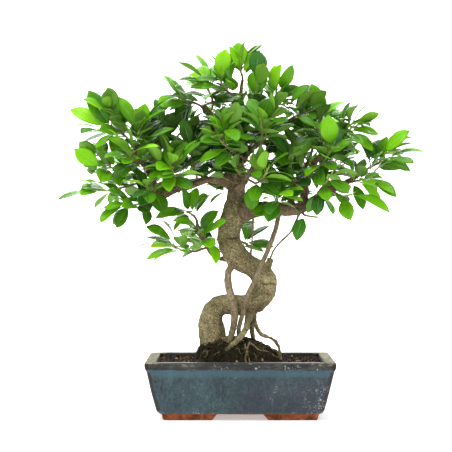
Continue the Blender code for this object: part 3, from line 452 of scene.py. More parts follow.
@dataclass(frozen=True)
class PotFinish:
    """Blue glaze over red stoneware: a brown-grey lip band, limescale on the rim, bare feet.

    Reach is half the pot's length, depth half its width, top its height, and feet the height of its feet.
    """

    reach: float
    depth: float
    top: float
    feet: float
    glaze: Stops = ((0.34, (0.014, 0.022, 0.028)), (0.44, (0.021, 0.036, 0.043)),
                    (0.56, (0.031, 0.056, 0.063)), (0.66, (0.072, 0.108, 0.104)))
    lip: Stops = ((0.36, (0.006, 0.005, 0.005)), (0.50, (0.022, 0.018, 0.014)),
                  (0.62, (0.052, 0.052, 0.042)), (0.72, (0.230, 0.215, 0.155)))
    scale: Stops = ((0.34, (0.066, 0.060, 0.040)), (0.50, (0.215, 0.200, 0.135)),
                    (0.66, (0.420, 0.400, 0.290)))
    clay: Stops = ((0.34, (0.052, 0.014, 0.006)), (0.50, (0.205, 0.050, 0.013)),
                   (0.66, (0.340, 0.105, 0.034)))
    plum: Colour = (0.036, 0.038, 0.056)
    run_pale: Colour = (0.105, 0.150, 0.150)
    run_dark: Colour = (0.022, 0.028, 0.036)
    teal: Colour = (0.060, 0.125, 0.145)
    sky_blue: Colour = (0.050, 0.112, 0.150)
    worn_corner: Colour = (0.022, 0.014, 0.012)
    rust: Colour = (0.110, 0.034, 0.026)
    lime: Colour = (0.420, 0.430, 0.370)
    rim: Colour = (0.034, 0.034, 0.036)
    # The colour that the bare clay darkens to near the bottom edge of the feet.
    bottom_edge_dark: Colour = (0.020, 0.014, 0.012)

    def make(self) -> Material:
        """Makes the material.

        Returns:
            The material, whose zones lie by height and by the way that the surface faces.
        """
        bench = Bench("blue_glaze_on_stoneware", 0.35, 0.27)
        height = bench.along("Z")
        wave = bench.cloud(0.030)
        fine = bench.cloud(0.0034, 4.0, rough=0.75)
        runs = bench.cloud(0.0035, 3.0, (1.0, 1.0, 0.12), 0.6, 1.0)
        edge = height + (wave - 0.5) * 0.006
        colour = self._glazed(bench, height, edge, fine, runs)
        band = (edge + (runs - 0.5) * 0.004).step(self.top - 0.0125, self.top - 0.0095)
        lip = bench.ramp(bench.cloud(0.008, 4.0, (0.35, 0.35, 1.0), 0.65, 8.0), self.lip)
        colour = bench.blend(band * 0.92, colour, lip)
        corner = (bench.facing("X") * bench.facing("Y")).absolute().step(0.20, 0.42)
        colour = bench.blend(corner * 0.85, colour, self.worn_corner)
        rust = bench.cells(0.034).step(0.085, 0.045) * bench.cloud(0.05, 1.0, shift=12.0).step(0.52, 0.58)
        colour = bench.blend(rust * 0.8, colour, self.rust)
        spots = self._lime_spots(bench, height, band)
        colour = bench.blend(spots * 0.85, colour, self.lime)
        rim = edge.step(self.top - 0.0030, self.top - 0.0008) * bench.facing("Z").step(0.20, 0.70)
        ends = bench.along("X").absolute().step(self.reach - 0.030, self.reach - 0.016)
        cover = rim * ends.highest(bench.cloud(0.012, shift=20.0).step(0.56, 0.68) * 0.6)
        colour = bench.blend(rim * 0.8, colour, self.rim)
        scale = bench.ramp(bench.cloud(0.006, 4.0, rough=0.7, shift=11.0), self.scale)
        colour = bench.blend(cover, colour, scale)
        clay = bench.ramp(bench.cloud(0.010, 5.0, rough=0.7, shift=13.0), self.clay)
        # The bare clay is made darker in patches within a few millimetres of the bottom edge of the feet.
        bottom_edge_dark = height.step(0.0035, 0.0008) * bench.cloud(0.006, shift=17.0).step(0.42, 0.62)
        clay = bench.blend(bottom_edge_dark * 0.85, clay, self.bottom_edge_dark)
        bare = (height + (fine - 0.5) * 0.0012).step(self.feet + 0.0012, self.feet + 0.0002)
        colour = bench.blend(bare, colour, clay)
        roughness = 0.30 + corner * 0.40 + band * 0.18 + spots * 0.35 + cover * 0.45 + bare * 0.50
        relief = 0.4 + wave * 0.25 + fine * 0.12 + spots * 0.2 + cover * 0.25 + bare * (fine - 0.5)
        return bench.finish(colour, roughness + (fine - 0.5) * 0.20, relief, 0.0008)

    def _glazed(self, bench: Bench, height: Value, edge: Value, fine: Value, runs: Value) -> Socket:
        """The colour of the glazed wall: mottled, plum at one end and teal at the other, light under the lip.

        Args:
            bench: the material in the making.
            height: the height on the pot.
            edge: the same, made wavy.
            fine: fine noise.
            runs: noise drawn out downwards, as glaze runs.

        Returns:
            The colour.
        """
        patch = bench.cloud(0.045, 4.0, (1.0, 1.0, 0.8), 0.6, 4.0)
        glaze = bench.ramp(patch * 0.6 + fine * 0.4 + (fine - 0.5) * 0.30, self.glaze)
        plum = (bench.cloud(0.075, 2.0, shift=6.0) + bench.along("X") * 1.1).step(0.42, 0.62)
        glaze = bench.blend(plum * height.step(self.top * 0.85, self.top * 0.40) * 0.62, glaze, self.plum)
        glaze = bench.blend(runs.step(0.50, 0.72) * 0.22, glaze, self.run_pale)
        glaze = bench.blend(runs.step(0.46, 0.30) * 0.25, glaze, self.run_dark)
        side = bench.along("X").step(self.reach * 0.05, -self.reach * 0.65)
        glaze = bench.blend(side * patch.step(0.35, 0.60) * 0.30, glaze, self.teal)
        return bench.blend(edge.step(self.top - 0.026, self.top - 0.016) * 0.50, glaze, self.sky_blue)

    def _lime_spots(self, bench: Bench, height: Value, band: Value) -> Value:
        """Spots of limescale: thick low on one end of the front, along the feet and on the lip.

        Args:
            bench: the material in the making.
            height: the height on the pot.
            band: where the lip is.

        Returns:
            Where the spots are, from 0 to 1.
        """
        spots = bench.cloud(0.0030, rough=0.75, shift=3.0).step(0.545, 0.60)
        zone = bench.along("X").step(self.reach * 0.56, self.reach * 0.86)
        zone = zone * height.step(self.top * 0.80, self.top * 0.30)
        zone = zone * bench.along("Y").step(-self.depth * 0.15, -self.depth * 0.75)
        zone = zone * bench.cloud(0.012, shift=5.0).step(0.44, 0.56)
        stray = bench.cloud(0.02, 2.0, shift=15.0).step(0.66, 0.76) * 0.45
        foot_line = height.step(self.feet + 0.006, self.feet + 0.001)
        foot_line = foot_line * bench.cloud(0.02, 2.0, shift=2.0).step(0.5, 0.6)
        on_lip = band * bench.cloud(0.012, 2.0, shift=18.0).step(0.60, 0.68)
        return spots * zone.highest(stray).highest(foot_line).highest(on_lip)


@dataclass(frozen=True)
class SoilFinish:
    """Moist potting mix: dark crumbs with tan and orange bits."""

    crumbs: Stops = ((0.30, (0.006, 0.004, 0.003)), (0.50, (0.030, 0.017, 0.010)),
                     (0.66, (0.085, 0.046, 0.024)), (0.80, (0.200, 0.110, 0.050)))
    bits: Colour = (0.300, 0.150, 0.040)

    def make(self) -> Material:
        """Makes the material.

        Returns:
            The material.
        """
        bench = Bench("potting_mix", 0.95, 0.2)
        crumb = bench.cloud(0.0045, 5.0, rough=0.7)
        bits = bench.cells(0.006).step(0.22, 0.14) * bench.cloud(0.02, 2.0, shift=4.0).step(0.48, 0.6)
        colour = bench.blend(bits * 0.7, bench.ramp(crumb, self.crumbs), self.bits)
        return bench.finish(colour, 0.86 + crumb * 0.14, crumb, 0.0016)


@dataclass(frozen=True)
class GrainFinish:
    """Loose crumbs of the potting mix; each carries its own shade."""

    shades: Stops = ((0.0, (0.008, 0.005, 0.003)), (0.50, (0.036, 0.018, 0.010)),
                     (0.80, (0.095, 0.045, 0.020)), (0.93, (0.260, 0.130, 0.045)),
                     (1.0, (0.520, 0.400, 0.220)))
    grime: Colour = (0.020, 0.012, 0.008)

    def make(self) -> Material:
        """Makes the material.

        Returns:
            The material; it reads each crumb's shade from the mesh.
        """
        bench = Bench("potting_grains", 0.9, 0.25)
        grit = bench.cloud(0.0012, rough=0.7)
        colour = bench.blend((grit - 0.3) * 0.8, bench.ramp(bench.carried("shade"), self.shades), self.grime)
        return bench.finish(colour, 0.80 + grit * 0.2, grit, 0.0006)


@dataclass(frozen=True)
class MossFinish:
    """Near-black matted moss and root hairs, with olive tufts and brown crumbs."""

    tufts: Stops = ((0.36, (0.004, 0.003, 0.002)), (0.50, (0.016, 0.014, 0.006)),
                    (0.60, (0.046, 0.040, 0.016)), (0.70, (0.120, 0.088, 0.045)))

    def make(self) -> Material:
        """Makes the material.

        Returns:
            The material.
        """
        bench = Bench("matted_moss", 0.95, 0.15)
        tuft = bench.cloud(0.0060, 5.0, rough=0.72)
        hair = bench.cloud(0.0016, 3.0, (1.0, 0.35, 1.0), 0.7, 2.0)
        mat = tuft * 0.5 + hair * 0.5
        return bench.finish(bench.ramp(mat, self.tufts), 0.9 + tuft * 0.1, mat, 0.0022)


@dataclass(frozen=True)
class FibreFinish:
    """Dark root hairs and moss on the mound; each fibre carries its own shade."""

    shades: Stops = ((0.0, (0.010, 0.008, 0.004)), (0.50, (0.030, 0.028, 0.010)),
                     (0.80, (0.080, 0.070, 0.026)), (1.0, (0.240, 0.190, 0.100)))

    def make(self) -> Material:
        """Makes the material.

        Returns:
            The material; it reads each fibre's shade from the mesh.
        """
        bench = Bench("root_hairs_and_moss", 0.9, 0.2)
        fleck = bench.cloud(0.003, 2.0)
        colour = bench.ramp(bench.carried("shade") + (fleck - 0.5) * 0.3, self.shades)
        return bench.finish(colour, 0.8 + fleck * 0.2, fleck, 0.0003)


@dataclass(frozen=True)
class NetFinish:
    """Black moulded plastic, dusty with soil."""

    plastic: Colour = (0.012, 0.012, 0.013)
    dust: Colour = (0.060, 0.040, 0.026)

    def make(self) -> Material:
        """Makes the material.

        Returns:
            The material.
        """
        bench = Bench("black_net_plastic", 0.55)
        film = bench.cloud(0.007, 4.0)
        colour = bench.blend(film.step(0.48, 0.68) * 0.6, self.plastic, self.dust)
        return bench.finish(colour, 0.45 + film * 0.4, film, 0.0002)


@dataclass(frozen=True)
class TableFinish:
    """The pale light table that the pot stands on: it glows a little, so its shadows are faint."""

    near: float = 0.40
    far: float = 0.62
    pale: Colour = (0.93, 0.93, 0.93)
    paler: Colour = (0.95, 0.95, 0.95)

    def make(self) -> Material:
        """Makes the material.

        Returns:
            The material, which glows more with the distance from the pot.
        """
        bench = Bench("pale_table", 0.9, 0.1)
        x, y = bench.along("X"), bench.along("Y")
        glow = bench.blend((x * x + y * y).step(0.5, 2.5), (self.near,) * 3, (self.far,) * 3)
        bench.feed(bench.shader.inputs["Emission Color"], glow)
        bench.shader.inputs["Emission Strength"].default_value = 1.0
        return bench.finish(bench.blend(bench.cloud(0.8, 2.0), self.pale, self.paler))


def limited(number: float, low: float = 0.0, high: float = 1.0) -> float:
    """A number kept between two limits."""
    return min(max(number, low), high)


def box_of(node: str) -> tuple[Vector, Vector]:
    """The lowest and the highest corner of a frame node."""
    low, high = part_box(node)
    return Vector(low), Vector(high)


def weld(node: str) -> tuple[np.ndarray, np.ndarray]:
    """Reads a frame node.

    Args:
        node: the node's name.

    Returns:
        Its points with equal ones made one, and its triangles.
    """
    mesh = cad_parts[node].data
    points = np.empty(len(mesh.vertices) * 3, np.float32)
    mesh.vertices.foreach_get("co", points)
    points = points.reshape(-1, 3).astype(float)
    mesh.calc_loop_triangles()
    triangles = np.empty(len(mesh.loop_triangles) * 3, np.int32)
    mesh.loop_triangles.foreach_get("vertices", triangles)
    _, first, index = np.unique(np.round(points, 6), axis=0, return_index=True, return_inverse=True)
    triangles = index.reshape(-1)[triangles].reshape(-1, 3)
    whole = [len({a, b, c}) == 3 for a, b, c in triangles.tolist()]
    return points[first], triangles[whole]


def surface(node: str) -> BVHTree:
    """The surface of a frame node, for measuring distances."""
    points, triangles = weld(node)
    return BVHTree.FromPolygons(points.tolist(), triangles.tolist())


def remesh(node: str, voxel: float, smooth: int) -> tuple[np.ndarray, np.ndarray, Faces]:
    """Makes a fine, even skin from a frame node.

    Args:
        node: the node's name.
        voxel: the size of its faces in metres.
        smooth: how many times it is smoothed.

    Returns:
        Its points, their normals and its faces.
    """
    points, triangles = weld(node)
    mesh = bpy.data.meshes.new("skin")
    mesh.from_pydata(points.tolist(), [], triangles.tolist())
    mesh.update()
    tool = bpy.data.objects.new("skin", mesh)
    bpy.context.scene.collection.objects.link(tool)
    even = tool.modifiers.new("even", "REMESH")
    even.mode = "VOXEL"
    even.voxel_size = voxel
    soft = tool.modifiers.new("soft", "SMOOTH")
    soft.factor = 0.5
    soft.iterations = smooth
    made = bpy.data.meshes.new_from_object(tool.evaluated_get(bpy.context.evaluated_depsgraph_get()))
    bpy.data.objects.remove(tool, do_unlink=True)
    count = len(made.vertices)
    found = np.empty(count * 3, np.float32)
    made.vertices.foreach_get("co", found)
    normals = np.empty(count * 3, np.float32)
    made.vertex_normals.foreach_get("vector", normals)
    faces = [list(polygon.vertices) for polygon in made.polygons]
    bpy.data.meshes.remove(made)
    return found.reshape(-1, 3).astype(float), normals.reshape(-1, 3).astype(float), faces


def add_piece(name: str, points: object, faces: Faces, materials: list[Material],
              replaced: str | None = None, smooth: bool = True) -> Piece:
    """Makes a piece that rides on the plant's one body.

    Args:
        name: the piece's name.
        points: its points.
        faces: its faces.
        materials: its materials.
        replaced: the frame node that it stands for, where there is one.
        smooth: whether its faces are shaded smooth.

    Returns:
        The piece.
    """
    mesh = bpy.data.meshes.new(name)
    mesh.from_pydata([tuple(point) for point in points], [], faces)
    mesh.update()
    for material in materials:
        mesh.materials.append(material)
    mesh.polygons.foreach_set("use_smooth", [smooth] * len(mesh.polygons))
    piece = bpy.data.objects.new(name, mesh)
    bpy.context.scene.collection.objects.link(piece)
    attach(piece, "root")
    if replaced is not None:
        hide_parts(replaced)
    return piece


def carry(mesh: bpy.types.Mesh, name: str, values: object, kind: str = "FLOAT",
          domain: str = "POINT") -> None:
    """Writes values onto a mesh for its material to read.

    Args:
        mesh: the mesh.
        name: the attribute's name.
        values: the numbers, flat.
        kind: FLOAT or FLOAT_VECTOR.
        domain: POINT or FACE.
    """
    layer = mesh.attributes.new(name, kind, domain)
    layer.data.foreach_set("value" if kind == "FLOAT" else "vector", np.asarray(values, np.float32).ravel())


def curve_through(places: list[Vector], per_span: int) -> list[tuple[Vector, float]]:
    """A smooth curve through places.

    Args:
        places: the places.
        per_span: how many steps lie between two of them.

    Returns:
        The curve's points, each with its place in the list as a number.
    """
    knots = [places[0] * 2 - places[1]] + places + [places[-1] * 2 - places[-2]]
    curve = []
    for index in range(1, len(knots) - 2):
        a, b, c, d = knots[index - 1:index + 3]
        for step in range(per_span):
            t = step / per_span
            point = 0.5 * (2 * b + (c - a) * t + (2 * a - 5 * b + 4 * c - d) * t * t
                           + (3 * b - a - 3 * c + d) * t ** 3)
            curve.append((point, index - 1 + t))
    curve.append((places[-1], float(len(places) - 1)))
    return curve


def tube(places: list[Vector], radii: list[float], sides: int, pointed: bool = False) -> Skin:
    """A closed tube along a curve.

    Args:
        places: the curve's points.
        radii: the tube's radius at each.
        sides: how many sides it has.
        pointed: whether the far end closes in a point.

    Returns:
        Its points and faces.
    """
    points: list[Vector] = []
    side = None
    last_tangent = None
    for index, place in enumerate(places):
        tangent = (places[min(index + 1, len(places) - 1)] - places[max(index - 1, 0)]).normalized()
        if side is None:
            side = tangent.orthogonal().normalized()
        else:
            side = (last_tangent.rotation_difference(tangent) @ side).normalized()
        last_tangent = tangent
        across = tangent.cross(side)
        for step in range(sides):
            angle = TURN * step / sides
            points.append(place + (side * math.cos(angle) + across * math.sin(angle)) * radii[index])
    faces = [[low + step, low + (step + 1) % sides, low + sides + (step + 1) % sides, low + sides + step]
             for low in range(0, (len(places) - 1) * sides, sides) for step in range(sides)]
    faces.append(list(reversed(range(sides))))
    high = (len(places) - 1) * sides
    if pointed:
        points.append(places[-1] + (places[-1] - places[-2]))
        faces.extend([high + step, high + (step + 1) % sides, high + sides] for step in range(sides))
    else:
        faces.append([high + step for step in range(sides)])
    return points, faces


@dataclass
class Batch:
    """Many small parts that make one piece."""

    points: list[Vector] = field(default_factory=list)
    faces: Faces = field(default_factory=list)
    shades: list[float] = field(default_factory=list)

    def add(self, points: list[Vector], faces: Faces, shade: float = 0.0) -> None:
        """Adds a part.

        Args:
            points: its points.
            faces: its faces, which number its own points from 0.
            shade: its shade, from 0 to 1.
        """
        offset = len(self.points)
        self.points.extend(points)
        self.faces.extend([offset + index for index in face] for face in faces)
        self.shades.extend([shade] * len(points))


@dataclass(frozen=True)
class LeafPlace:
    """Where a leaf sits: its foot on the twig, its tip, the way its upper side looks, and its width."""

    foot: Vector
    tip: Vector
    upper: Vector
    width: float
    ripe: float
    small: bool = False

    def samples(self) -> list[Vector]:
        """Spreads places over the blade, for keeping leaves apart.

        Returns:
            Five places along its middle and three on each side.
        """
        ahead = self.tip - self.foot
        side = ahead.normalized().cross(self.upper) * (self.width * 0.42)
        centre = [self.foot + ahead * share + self.upper * (0.18 * ahead.length * share * (1.0 - share))
                  for share in (0.34, 0.5, 0.66, 0.84, 1.0)]
        return centre + [centre[index] + side * sign for index in (0, 1, 2) for sign in (1.0, -1.0)]


@dataclass
class Room:
    """The free room between leaves and wood."""

    trees: list[BVHTree]
    to_wood: float = 0.0024
    to_leaf: float = 0.00288
    cell: float = 0.004
    taken: dict[tuple[int, int, int], list[Vector]] = field(default_factory=dict)

    def _key(self, place: Vector) -> tuple[int, int, int]:
        """The cell that a place is in."""
        x, y, z = (math.floor(number / self.cell) for number in place)
        return x, y, z

    def _is_free(self, place: Vector) -> bool:
        """Whether nothing is near a place.

        Args:
            place: the place.

        Returns:
            True where neither wood nor a leaf is within its clearance.
        """
        if any(tree.find_nearest(place, self.to_wood)[0] is not None for tree in self.trees):
            return False
        x, y, z = self._key(place)
        around = [(i, j, k) for i in (x - 1, x, x + 1) for j in (y - 1, y, y + 1) for k in (z - 1, z, z + 1)]
        near = (other for key in around for other in self.taken.get(key, ()))
        return all((place - other).length > self.to_leaf for other in near)

    def take(self, leaf: LeafPlace) -> bool:
        """Takes the room for a leaf.

        Args:
            leaf: the leaf's place.

        Returns:
            Whether there was room.
        """
        places = leaf.samples()
        if not all(self._is_free(place) for place in places):
            return False
        for place in places:
            self.taken.setdefault(self._key(place), []).append(place)
        return True


@dataclass
class BladeTemplate:
    """The net of faces that every leaf blade has: an upper and a lower sheet that share the margin."""

    rows: int = 12
    columns: tuple[float, ...] = (-1.0, -0.80, -0.45, -0.07, 0.0, 0.07, 0.45, 0.80, 1.0)
    faces: Faces = field(default_factory=list)
    corners: list[list[tuple[float, float]]] = field(default_factory=list)
    under: list[float] = field(default_factory=list)
    marks: list[tuple[int, int, bool]] = field(default_factory=list)

    def __post_init__(self) -> None:
        """Numbers the points and lays the faces of both sheets."""
        width = len(self.columns)
        grid = [(row, column) for row in range(self.rows + 1) for column in range(width)]
        upper = {key: number for number, key in enumerate(grid)}
        self.marks = [(row, column, False) for row, column in grid]
        lower = {}
        for row, column in grid:
            inside = 0 < row < self.rows and 0 < column < width - 1
            lower[row, column] = len(self.marks) if inside else upper[row, column]
            if inside:
                self.marks.append((row, column, True))
        for sheet, below in ((upper, 0.0), (lower, 1.0)):
            for row in range(self.rows):
                for column in range(width - 1):
                    turn = [(row, column), (row, column + 1), (row + 1, column + 1), (row + 1, column)]
                    if below:
                        turn.reverse()
                    self.faces.append([sheet[key] for key in turn])
                    self.corners.append([((self.columns[c] + 1.0) / 2.0, r / self.rows) for r, c in turn])
                    self.under.append(below)


@dataclass
class Leaf:
    """One leaf in its place, with its own arch, droop, fold, cup, twist, bend and wavy margin.

    Arch, droop, bend and breadth are lengths; widest is where the blade is widest and full how round it is.
    """

    place: LeafPlace
    arch: float
    droop: float
    fold: float
    cup: float
    twist: float
    bend: float
    wave: float
    phase: float
    widest: float
    full: float
    breadth: float
    stalk_share: float = 0.12
    thickness: float = 0.00045
    rib_width: float = 0.07
    rib_height: float = 0.0005
    margin: float = 0.00042

    def __post_init__(self) -> None:
        """Works out the leaf's length and its own directions."""
        reach = self.place.tip - self.place.foot
        self.length = reach.length
        self.ahead = reach.normalized()
        self.side = self.ahead.cross(self.place.upper)

    @classmethod
    def draw(cls, place: LeafPlace, chance: random.Random) -> "Leaf":
        """Draws the small differences that make a leaf its own.

        Args:
            place: the leaf's place.
            chance: the source of the differences.

        Returns:
            The leaf.
        """
        length = (place.tip - place.foot).length
        return cls(place,
                   arch=length * chance.uniform(0.045, 0.11),
                   droop=length * chance.uniform(0.01, 0.05),
                   fold=chance.uniform(0.04, 0.34),
                   cup=chance.uniform(0.02, 0.16),
                   twist=chance.uniform(-0.40, 0.40),
                   bend=length * chance.uniform(-0.045, 0.045),
                   wave=chance.uniform(0.0, 0.045),
                   phase=chance.uniform(0.0, 6.28),
                   widest=chance.uniform(0.48, 0.60),
                   full=chance.uniform(0.62, 0.82),
                   breadth=place.width * chance.uniform(0.76, 0.98))

    def centre(self, share: float) -> Vector:
        """A point of the centre line.

        Args:
            share: how far along it is, from the foot at 0 to the tip at 1.

        Returns:
            The point.
        """
        lift = self.arch * 4.0 * share * (1.0 - share) - self.droop * max(share - 0.55, 0.0) ** 2 * 4.9
        return (self.place.foot + self.ahead * (self.length * share) + self.place.upper * lift
                + self.side * (self.bend * math.sin(math.pi * share)))

    def stalk(self) -> list[Vector]:
        """The centre line of the stalk, which runs a little way under the blade."""
        return [self.centre(-0.03 + (self.stalk_share + 0.07) * step / 5.0) for step in range(6)]

    def _section(self, t: float) -> tuple[Vector, Vector, Vector, float]:
        """One section across the blade.

        Args:
            t: how far along the blade it is, from 0 to 1.

        Returns:
            Its middle, the way to its side, the way up, and half its width.
        """
        share = self.stalk_share + (1.0 - self.stalk_share) * t
        ahead = (self.centre(min(share + 0.02, 1.02)) - self.centre(share - 0.02)).normalized()
        normal = (self.place.upper - ahead * self.place.upper.dot(ahead)).normalized()
        side = ahead.cross(normal)
        angle = self.twist * (t - 0.3)
        side, normal = (side * math.cos(angle) + normal * math.sin(angle),
                        normal * math.cos(angle) - side * math.sin(angle))
        power = math.log(0.5) / math.log(self.widest)
        swell = math.sin(math.pi * t ** power) if 0 < t < 1 else 0.0
        tip = 1.0 - 0.30 * max(t - 0.86, 0.0) / 0.14
        half = self.breadth * 0.5 * (swell ** self.full * tip) + self.margin
        return self.centre(share), side, normal, half

    def blade(self, template: BladeTemplate) -> list[Vector]:
        """Shapes the blade.

        Args:
            template: the net of its faces.

        Returns:
            Its points, in the template's order.
        """
        sections = [self._section(row / template.rows) for row in range(template.rows + 1)]
        points = []
        for row, column, below in template.marks:
            middle, side, normal, half = sections[row]
            t = row / template.rows
            a = template.columns[column]
            ripple = self.wave * math.sin(9.0 * t + self.phase + 2.0 * a)
            rise = half * (self.fold * abs(a) - self.cup * a * a + ripple * a * a)
            skin = self.thickness * min((1.0 - abs(a)) * 4.0, 1.0) * 0.5
            rib = max(0.0, 1.0 - abs(a) / self.rib_width)
            if below:
                rise -= skin + rib * self.rib_height * (1.0 - 0.8 * t)
            elif 0 < row < template.rows:
                rise += skin - rib * self.rib_height * 0.5
            points.append(middle + side * (a * half) + normal * rise)
        return points


@dataclass
class Foliage:
    """The mesh of one shoot in the making; its map has a cell for each side of each leaf and for the wood.

    Each point is marked with its place on the blade and its age, and each face with its side and material.
    """

    parts: int
    points: list[Vector] = field(default_factory=list)
    faces: Faces = field(default_factory=list)
    marks: list[tuple[float, float, float]] = field(default_factory=list)
    under: list[float] = field(default_factory=list)
    kinds: list[int] = field(default_factory=list)
    maps: list[tuple[float, float]] = field(default_factory=list)

    def __post_init__(self) -> None:
        """Lays out the cells of the map, which are about twice as high as wide."""
        self.across = math.ceil(math.sqrt(self.parts * 2.0))
        self.down = math.ceil(self.parts / self.across)

    def _mapped(self, cell: int, u: float, v: float) -> tuple[float, float]:
        """A place in one cell of the map, a little inside its edges."""
        row, column = divmod(cell, self.across)
        return ((column + 0.06 + 0.88 * u) / self.across, (row + 0.04 + 0.92 * v) / self.down)

    def add_blade(self, points: list[Vector], template: BladeTemplate, number: int, age: float) -> None:
        """Adds a leaf's blade.

        Args:
            points: its points.
            template: the net of its faces.
            number: the leaf's number.
            age: how young and bright it is, from 0 to 1.
        """
        offset = len(self.points)
        self.points.extend(points)
        self.marks.extend((template.columns[c], r / template.rows, age) for r, c, _ in template.marks)
        for face, corners, below in zip(template.faces, template.corners, template.under):
            self.faces.append([offset + index for index in face])
            self.under.append(below)
            self.kinds.append(0)
            self.maps.extend(self._mapped(2 * number + int(below), u, v) for u, v in corners)

    def add_wood(self, made: Skin, sides: int, cell: int, ages: list[float]) -> None:
        """Adds a stalk or a twig.

        Args:
            made: the points and faces of its tube.
            sides: how many sides it has.
            cell: the cell of the map that it takes.
            ages: how young and green it is at each point, from 0 to 1.
        """
        points, faces = made
        offset = len(self.points)
        self.points.extend(points)
        self.marks.extend((0.0, 0.0, age) for age in ages)
        top = max(len(points) - 1, 1)
        for face in faces:
            self.faces.append([offset + index for index in face])
            self.under.append(0.0)
            self.kinds.append(1)
            for turn, index in enumerate(face):
                level, step = divmod(index, sides)
                wrapped = sides if step == 0 and turn in (1, 2) and len(face) == 4 else step
                self.maps.append(self._mapped(cell, wrapped / sides, level * sides / top))

    def finish(self, name: str, materials: list[Material], replaced: str | None) -> Piece:
        """Makes the piece.

        Args:
            name: the piece's name.
            materials: the leaf's and the twig's.
            replaced: the frame node that it stands for, where there is one.

        Returns:
            The piece.
        """
        piece = add_piece(name, self.points, self.faces, materials, replaced)
        carry(piece.data, "blade", self.marks, "FLOAT_VECTOR")
        carry(piece.data, "under", self.under, domain="FACE")
        piece.data.polygons.foreach_set("material_index", self.kinds)
        layer = piece.data.uv_layers.new(name=BAKE_MAP)
        layer.data.foreach_set("uv", np.asarray(self.maps, np.float32).ravel())
        return piece


